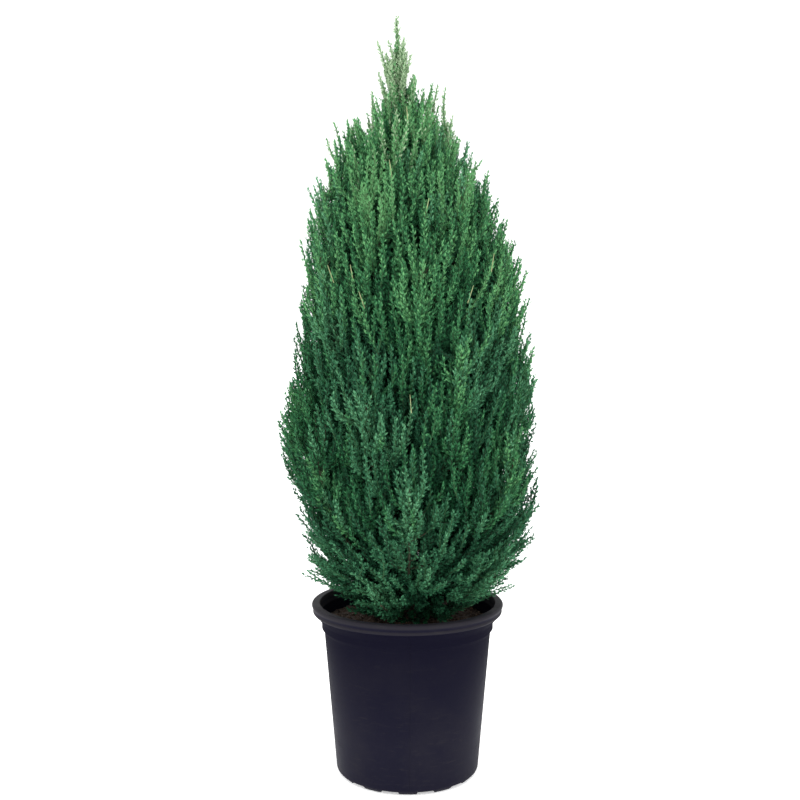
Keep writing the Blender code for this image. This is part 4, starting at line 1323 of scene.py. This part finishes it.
def needle_tints(settings):
    """Plain colours from deep to tip, shaded to lit copies that paint shade and light, in green and in blue-green,
    then those of dead needles and of pale tips.
    """
    made = []
    for hue, deepest, tip in (
        ("green", settings.deep_green, settings.tip_green),
        ("blue", settings.deep_blue, settings.tip_blue),
    ):
        for step in range(TINTS):
            colour = [a * (b / a) ** (step / (TINTS - 1)) for a, b in zip(deepest, tip)]
            made.append(Finish(f"needles {hue} {step + 1}", colour, 0.65, 0.15).material)
    made.append(Finish("needles dead", settings.dead, 0.8, 0.2).material)
    made.append(Finish("needles pale", settings.pale, 0.65, 0.15).material)
    return made


def deep(shoots):
    """How far in a shoot's tip lies: 0 in the crown's outer part, 1 in its middle."""
    return np.interp(depth_in_crown(shoots.tips), *DEEP)


def tones(sprays, rng):
    """How light each spray is painted, from 0 in painted shade deep inside the crown to 1 at its lit tips, and whether
    it is blue-green or dead.
    """
    x, y, z = sprays.tips.T
    outer = np.clip(1 - depth_in_crown(sprays.tips) / TONE_DEPTH, 0, 1)
    tone = np.interp(z, *TOP_TONES) * (INNER_SHARE + (1 - INNER_SHARE) * outer)
    tone = tone + sprays.tone + rng.normal(0, TONE_SCATTER, len(z))
    patches = np.sin(25 * x + 9 * z) + np.sin(31 * y - 14 * z + 1) + np.sin(19 * z + 3)
    blue = BLUE_PATCHES * patches + rng.normal(0, BLUE_SCATTER, len(z)) < np.interp(z, *BLUE_LEAN)
    near = np.linalg.norm(sprays.tips[:, None] - DEAD_SPOTS, axis=-1).min(1) < DEAD_RADIUS
    return tone, blue, near & (rng.uniform(0, 1, len(z)) < DEAD_SHARE)


class JUNIPER_OT_foliage(bpy.types.Operator):
    """Grows the side branches, sprays, twiglets and needles on from the limbs"""

    bl_idname = "juniper.foliage"
    bl_label = "Foliage"

    def execute(self, context):
        settings = context.scene.juniper.foliage
        crown = Crown(settings)
        tone, blue, dead = tones(crown.sprays, np.random.default_rng(TONE_SEED))
        self.side_branches(crown, context.scene.juniper.bark)
        self.spray_twigs(crown, tone)
        self.needles(crown, settings, tone, blue, dead)
        return {"FINISHED"}

    def side_branches(self, crown, settings):
        """The plumes' stems along the limbs, and the side branches."""
        wood = Finish("twig bark", settings.twig_colour, 0.8, 0.25).material
        limbs, branches = crown.limbs, crown.branches
        end = limbs.t_at(limbs.rows[:, 0], limbs.lengths)[:, None]
        t = limbs.bare[:, None] + (STEM_END * end - limbs.bare[:, None]) * np.linspace(0, 1, STEM_RINGS)
        stems = tubes(limbs.at(limbs.rows, t), limbs.radius(limbs.rows, t), STEM_SIDES)
        steps = np.linspace(0, 1, BRANCH_RINGS)
        radii = BRANCH_TIP_RADIUS + BRANCH_SLENDERNESS * branches.lengths[:, None] * (1 - steps) ** BRANCH_TAPER
        side = tubes(branches.at(branches.rows, steps), radii, BRANCH_SIDES)
        joined("side_branches", [stems, side], [wood], "bark")

    def spray_twigs(self, crown, tone):
        """The sprays' own twigs, with fewer rings deep inside, and the bare tips far forward."""
        sprays = crown.sprays
        surfaces = [Finish(f"young twigs {k + 1}", colour, 0.7, 0.2).material for k, colour in enumerate(TWIG_GREENS)]
        surfaces.append(Finish("bare tips", BARE_TIP_COLOUR, 0.7, 0.2).material)
        inner = deep(sprays) > 0.5
        # Each twig takes a darker or lighter green by its spray's tone: painted shade and light
        kind = np.digitize(tone, TWIG_TONES)
        thick, thin = SPRAY_RADII
        parts, tints = [], []
        for own, steps in ((~inner, SPRAY_STEPS), (inner, DEEP_STEPS)):
            stout = np.interp(sprays.tips[own, 2], *SPRAY_STOUTNESS)
            radii = stout[:, None] * (thick - (thick - thin) * steps)
            parts.append(tubes(sprays.at(np.flatnonzero(own)[:, None], steps), radii, SPRAY_SIDES))
            tints.append(np.repeat(kind[own], 2 * SPRAY_SIDES * len(steps)))
        bare = np.array([tip for tip in LONE_SHOOTS if tip[1] < FAR_FORWARD])
        paths = bare[:, None] + crown.heading(bare)[:, None] * BARE_TIP_REACH[:, None]
        parts.append(tubes(paths, np.repeat([BARE_TIP_RADII], len(bare), axis=0), BRANCH_SIDES))
        tints.append(np.full(len(parts[-1][1]), len(TWIG_GREENS)))
        joined("spray_twigs", parts, surfaces, "needles", np.concatenate(tints))

    def needles(self, crown, settings, tone, blue, dead):
        """Every spray's needles, in two pieces for each tier of limbs and one for the leader.

        A needle is painted lighter towards the tips of its spray and of its twiglet, and where its twiglet points
        outwards, as painted light.
        """
        rng = np.random.default_rng(NEEDLE_SEED)
        tints = needle_tints(settings)
        sprays, twiglets = crown.sprays, crown.twiglets
        inner, inner_twiglets = deep(sprays), deep(twiglets)
        own = needle_rows(sprays, OWN_NEEDLE_SPACING * (1 + inner), 0.0, settings.needle_angle, rng)
        spacing = settings.needle_spacing * (1 + DEEP_SPACING * inner_twiglets)
        more = needle_rows(twiglets, spacing, FIRST_NEEDLE, settings.needle_angle, rng)
        spray = np.concatenate([own.row, twiglets.spray[more.row]])
        base, direction, side = (np.concatenate(pair) for pair in zip(own[2:], more[2:]))
        along_spray = np.concatenate([own.share, twiglets.share[more.row]])
        along_twiglet = np.concatenate([np.zeros(len(own.row)), more.share])
        facing = np.sum(unit(twiglets.tips - twiglets.roots) * outward_at(twiglets.roots)[0], -1)
        outwards = np.concatenate([np.sum(own.direction * outward_at(own.base)[0], -1), facing[more.row]])
        light = LIGHT_ALONG_SPRAY * (along_spray - 0.5) + LIGHT_ALONG_TWIGLET * (along_twiglet - 0.5)
        light += LIGHT_OUTWARD * (outwards - LEVEL_OUTWARD)
        light *= np.interp(base[:, 2], *LIGHT_SHARE)
        inside = np.concatenate([inner[own.row], inner_twiglets[more.row]])
        count = len(spray)
        length = settings.needle_length * (1 + DEEP_LENGTH * inside) * rng.uniform(*NEEDLE_LENGTHS, count)
        width = settings.needle_width * (1 + DEEP_WIDTH * inside) * rng.uniform(*NEEDLE_WIDTHS, count)
        step = np.round((tone[spray] + light) * (TINTS - 1) + rng.normal(0, NEEDLE_SCATTER, count))
        tint = np.clip(step, 0, TINTS - 1).astype(int) + TINTS * blue[spray]
        tint = np.where(step > TINTS + np.interp(sprays.tips[spray, 2], *PALE_FROM), PALE_TINT, tint)
        tint = np.where(dead[spray], DEAD_TINT, tint)
        limb = sprays.limb[spray]
        for index, tier in enumerate([*TIERS, LEADER]):
            members = np.flatnonzero(crown.limbs.tier_index == index)
            for half, group in zip("ab", np.array_split(members, min(2, len(members)))):
                own = np.isin(limb, group)
                shape = needle_mesh(base[own], direction[own], side[own], length[own], width[own])
                name = f"needles_{tier.name}_{half}" if len(members) > 1 else f"needles_{tier.name}"
                piece = mesh_piece(name, *shape, tints, np.repeat(tint[own], 2), smooth=False)
                settled(piece, "needles", *(f"plume_{crown.limbs.names[i]}" for i in group))


# Stage


def aimed(obj, place, target):
    """Puts a light at a place and turns it to look at the target."""
    x, y, z = unit(np.asarray(target, float) - place)
    obj.location = place
    obj.rotation_euler = (math.pi / 2 + math.asin(z), 0, math.atan2(y, x) - math.pi / 2)


class JUNIPER_OT_stage(bpy.types.Operator):
    """Sets up the pale floor, the soft lights and the camera"""

    bl_idname = "juniper.stage"
    bl_label = "Floor, lights and camera"

    def execute(self, context):
        settings = context.scene.juniper.stage
        scene = context.scene
        corners = np.array([(-1, -1, 0), (1, -1, 0), (1, 1, 0), (-1, 1, 0)]) * FLOOR_SIZE - UP * FLOOR_DROP
        floor = Finish("pale floor", settings.floor_colour, 0.9, 0.1)
        floor.set(floor.shader, "Emission Color", settings.floor_colour)
        floor.set(floor.shader, "Emission Strength", settings.floor_glow)
        mesh_piece("floor", corners, np.array([(0, 1, 2, 3)]), [floor.material], smooth=False)
        world = bpy.data.worlds.new("white surround")
        world.use_nodes = True
        background = world.node_tree.nodes["Background"]
        background.inputs["Color"].default_value = (1, 1, 1, 1)
        background.inputs["Strength"].default_value = settings.surround
        scene.world = world
        for name, power, (place, width) in (
            ("key light", settings.key, KEY_LIGHT),
            ("fill light", settings.fill, FILL_LIGHT),
        ):
            lamp = bpy.data.lights.new(name, "AREA")
            lamp.energy = power
            lamp.size = width
            aimed(linked(name, lamp), place, LIGHT_AIM)
        camera = bpy.data.cameras.new("camera")
        camera.sensor_width = 36
        camera.lens = settings.lens
        scene.camera = linked("camera", camera)
        scene.camera.location = settings.camera_place
        scene.camera.rotation_euler = (math.pi / 2 - settings.camera_pitch, 0, 0)
        scene.view_settings.view_transform = "Standard"
        return {"FINISHED"}


class JUNIPER_PT_panel(bpy.types.Panel):
    """Lists the pieces of the potted juniper"""

    bl_idname = "JUNIPER_PT_panel"
    bl_label = "Potted juniper"
    bl_space_type = "VIEW_3D"
    bl_region_type = "UI"
    bl_category = "Juniper"

    def draw(self, context):
        for operator in OPERATORS:
            self.layout.operator(operator.bl_idname)


OPERATORS = (JUNIPER_OT_pot, JUNIPER_OT_soil, JUNIPER_OT_trunk, JUNIPER_OT_foliage, JUNIPER_OT_stage)
CLASSES = (
    JuniperPotSettings,
    JuniperSoilSettings,
    JuniperBarkSettings,
    JuniperFoliageSettings,
    JuniperStageSettings,
    JuniperSettings,
    *OPERATORS,
    JUNIPER_PT_panel,
)


def register():
    """Makes the settings, the operators and the panel known."""
    for each in CLASSES:
        bpy.utils.register_class(each)
    bpy.types.Scene.juniper = PointerProperty(type=JuniperSettings)


def unregister():
    """Takes them away again."""
    del bpy.types.Scene.juniper
    for each in reversed(CLASSES):
        bpy.utils.unregister_class(each)


def main():
    """Builds every piece and the stage."""
    register()
    bpy.ops.juniper.pot()
    bpy.ops.juniper.soil()
    bpy.ops.juniper.trunk()
    bpy.ops.juniper.foliage()
    bpy.ops.juniper.stage()


if __name__ == "__main__":
    main()
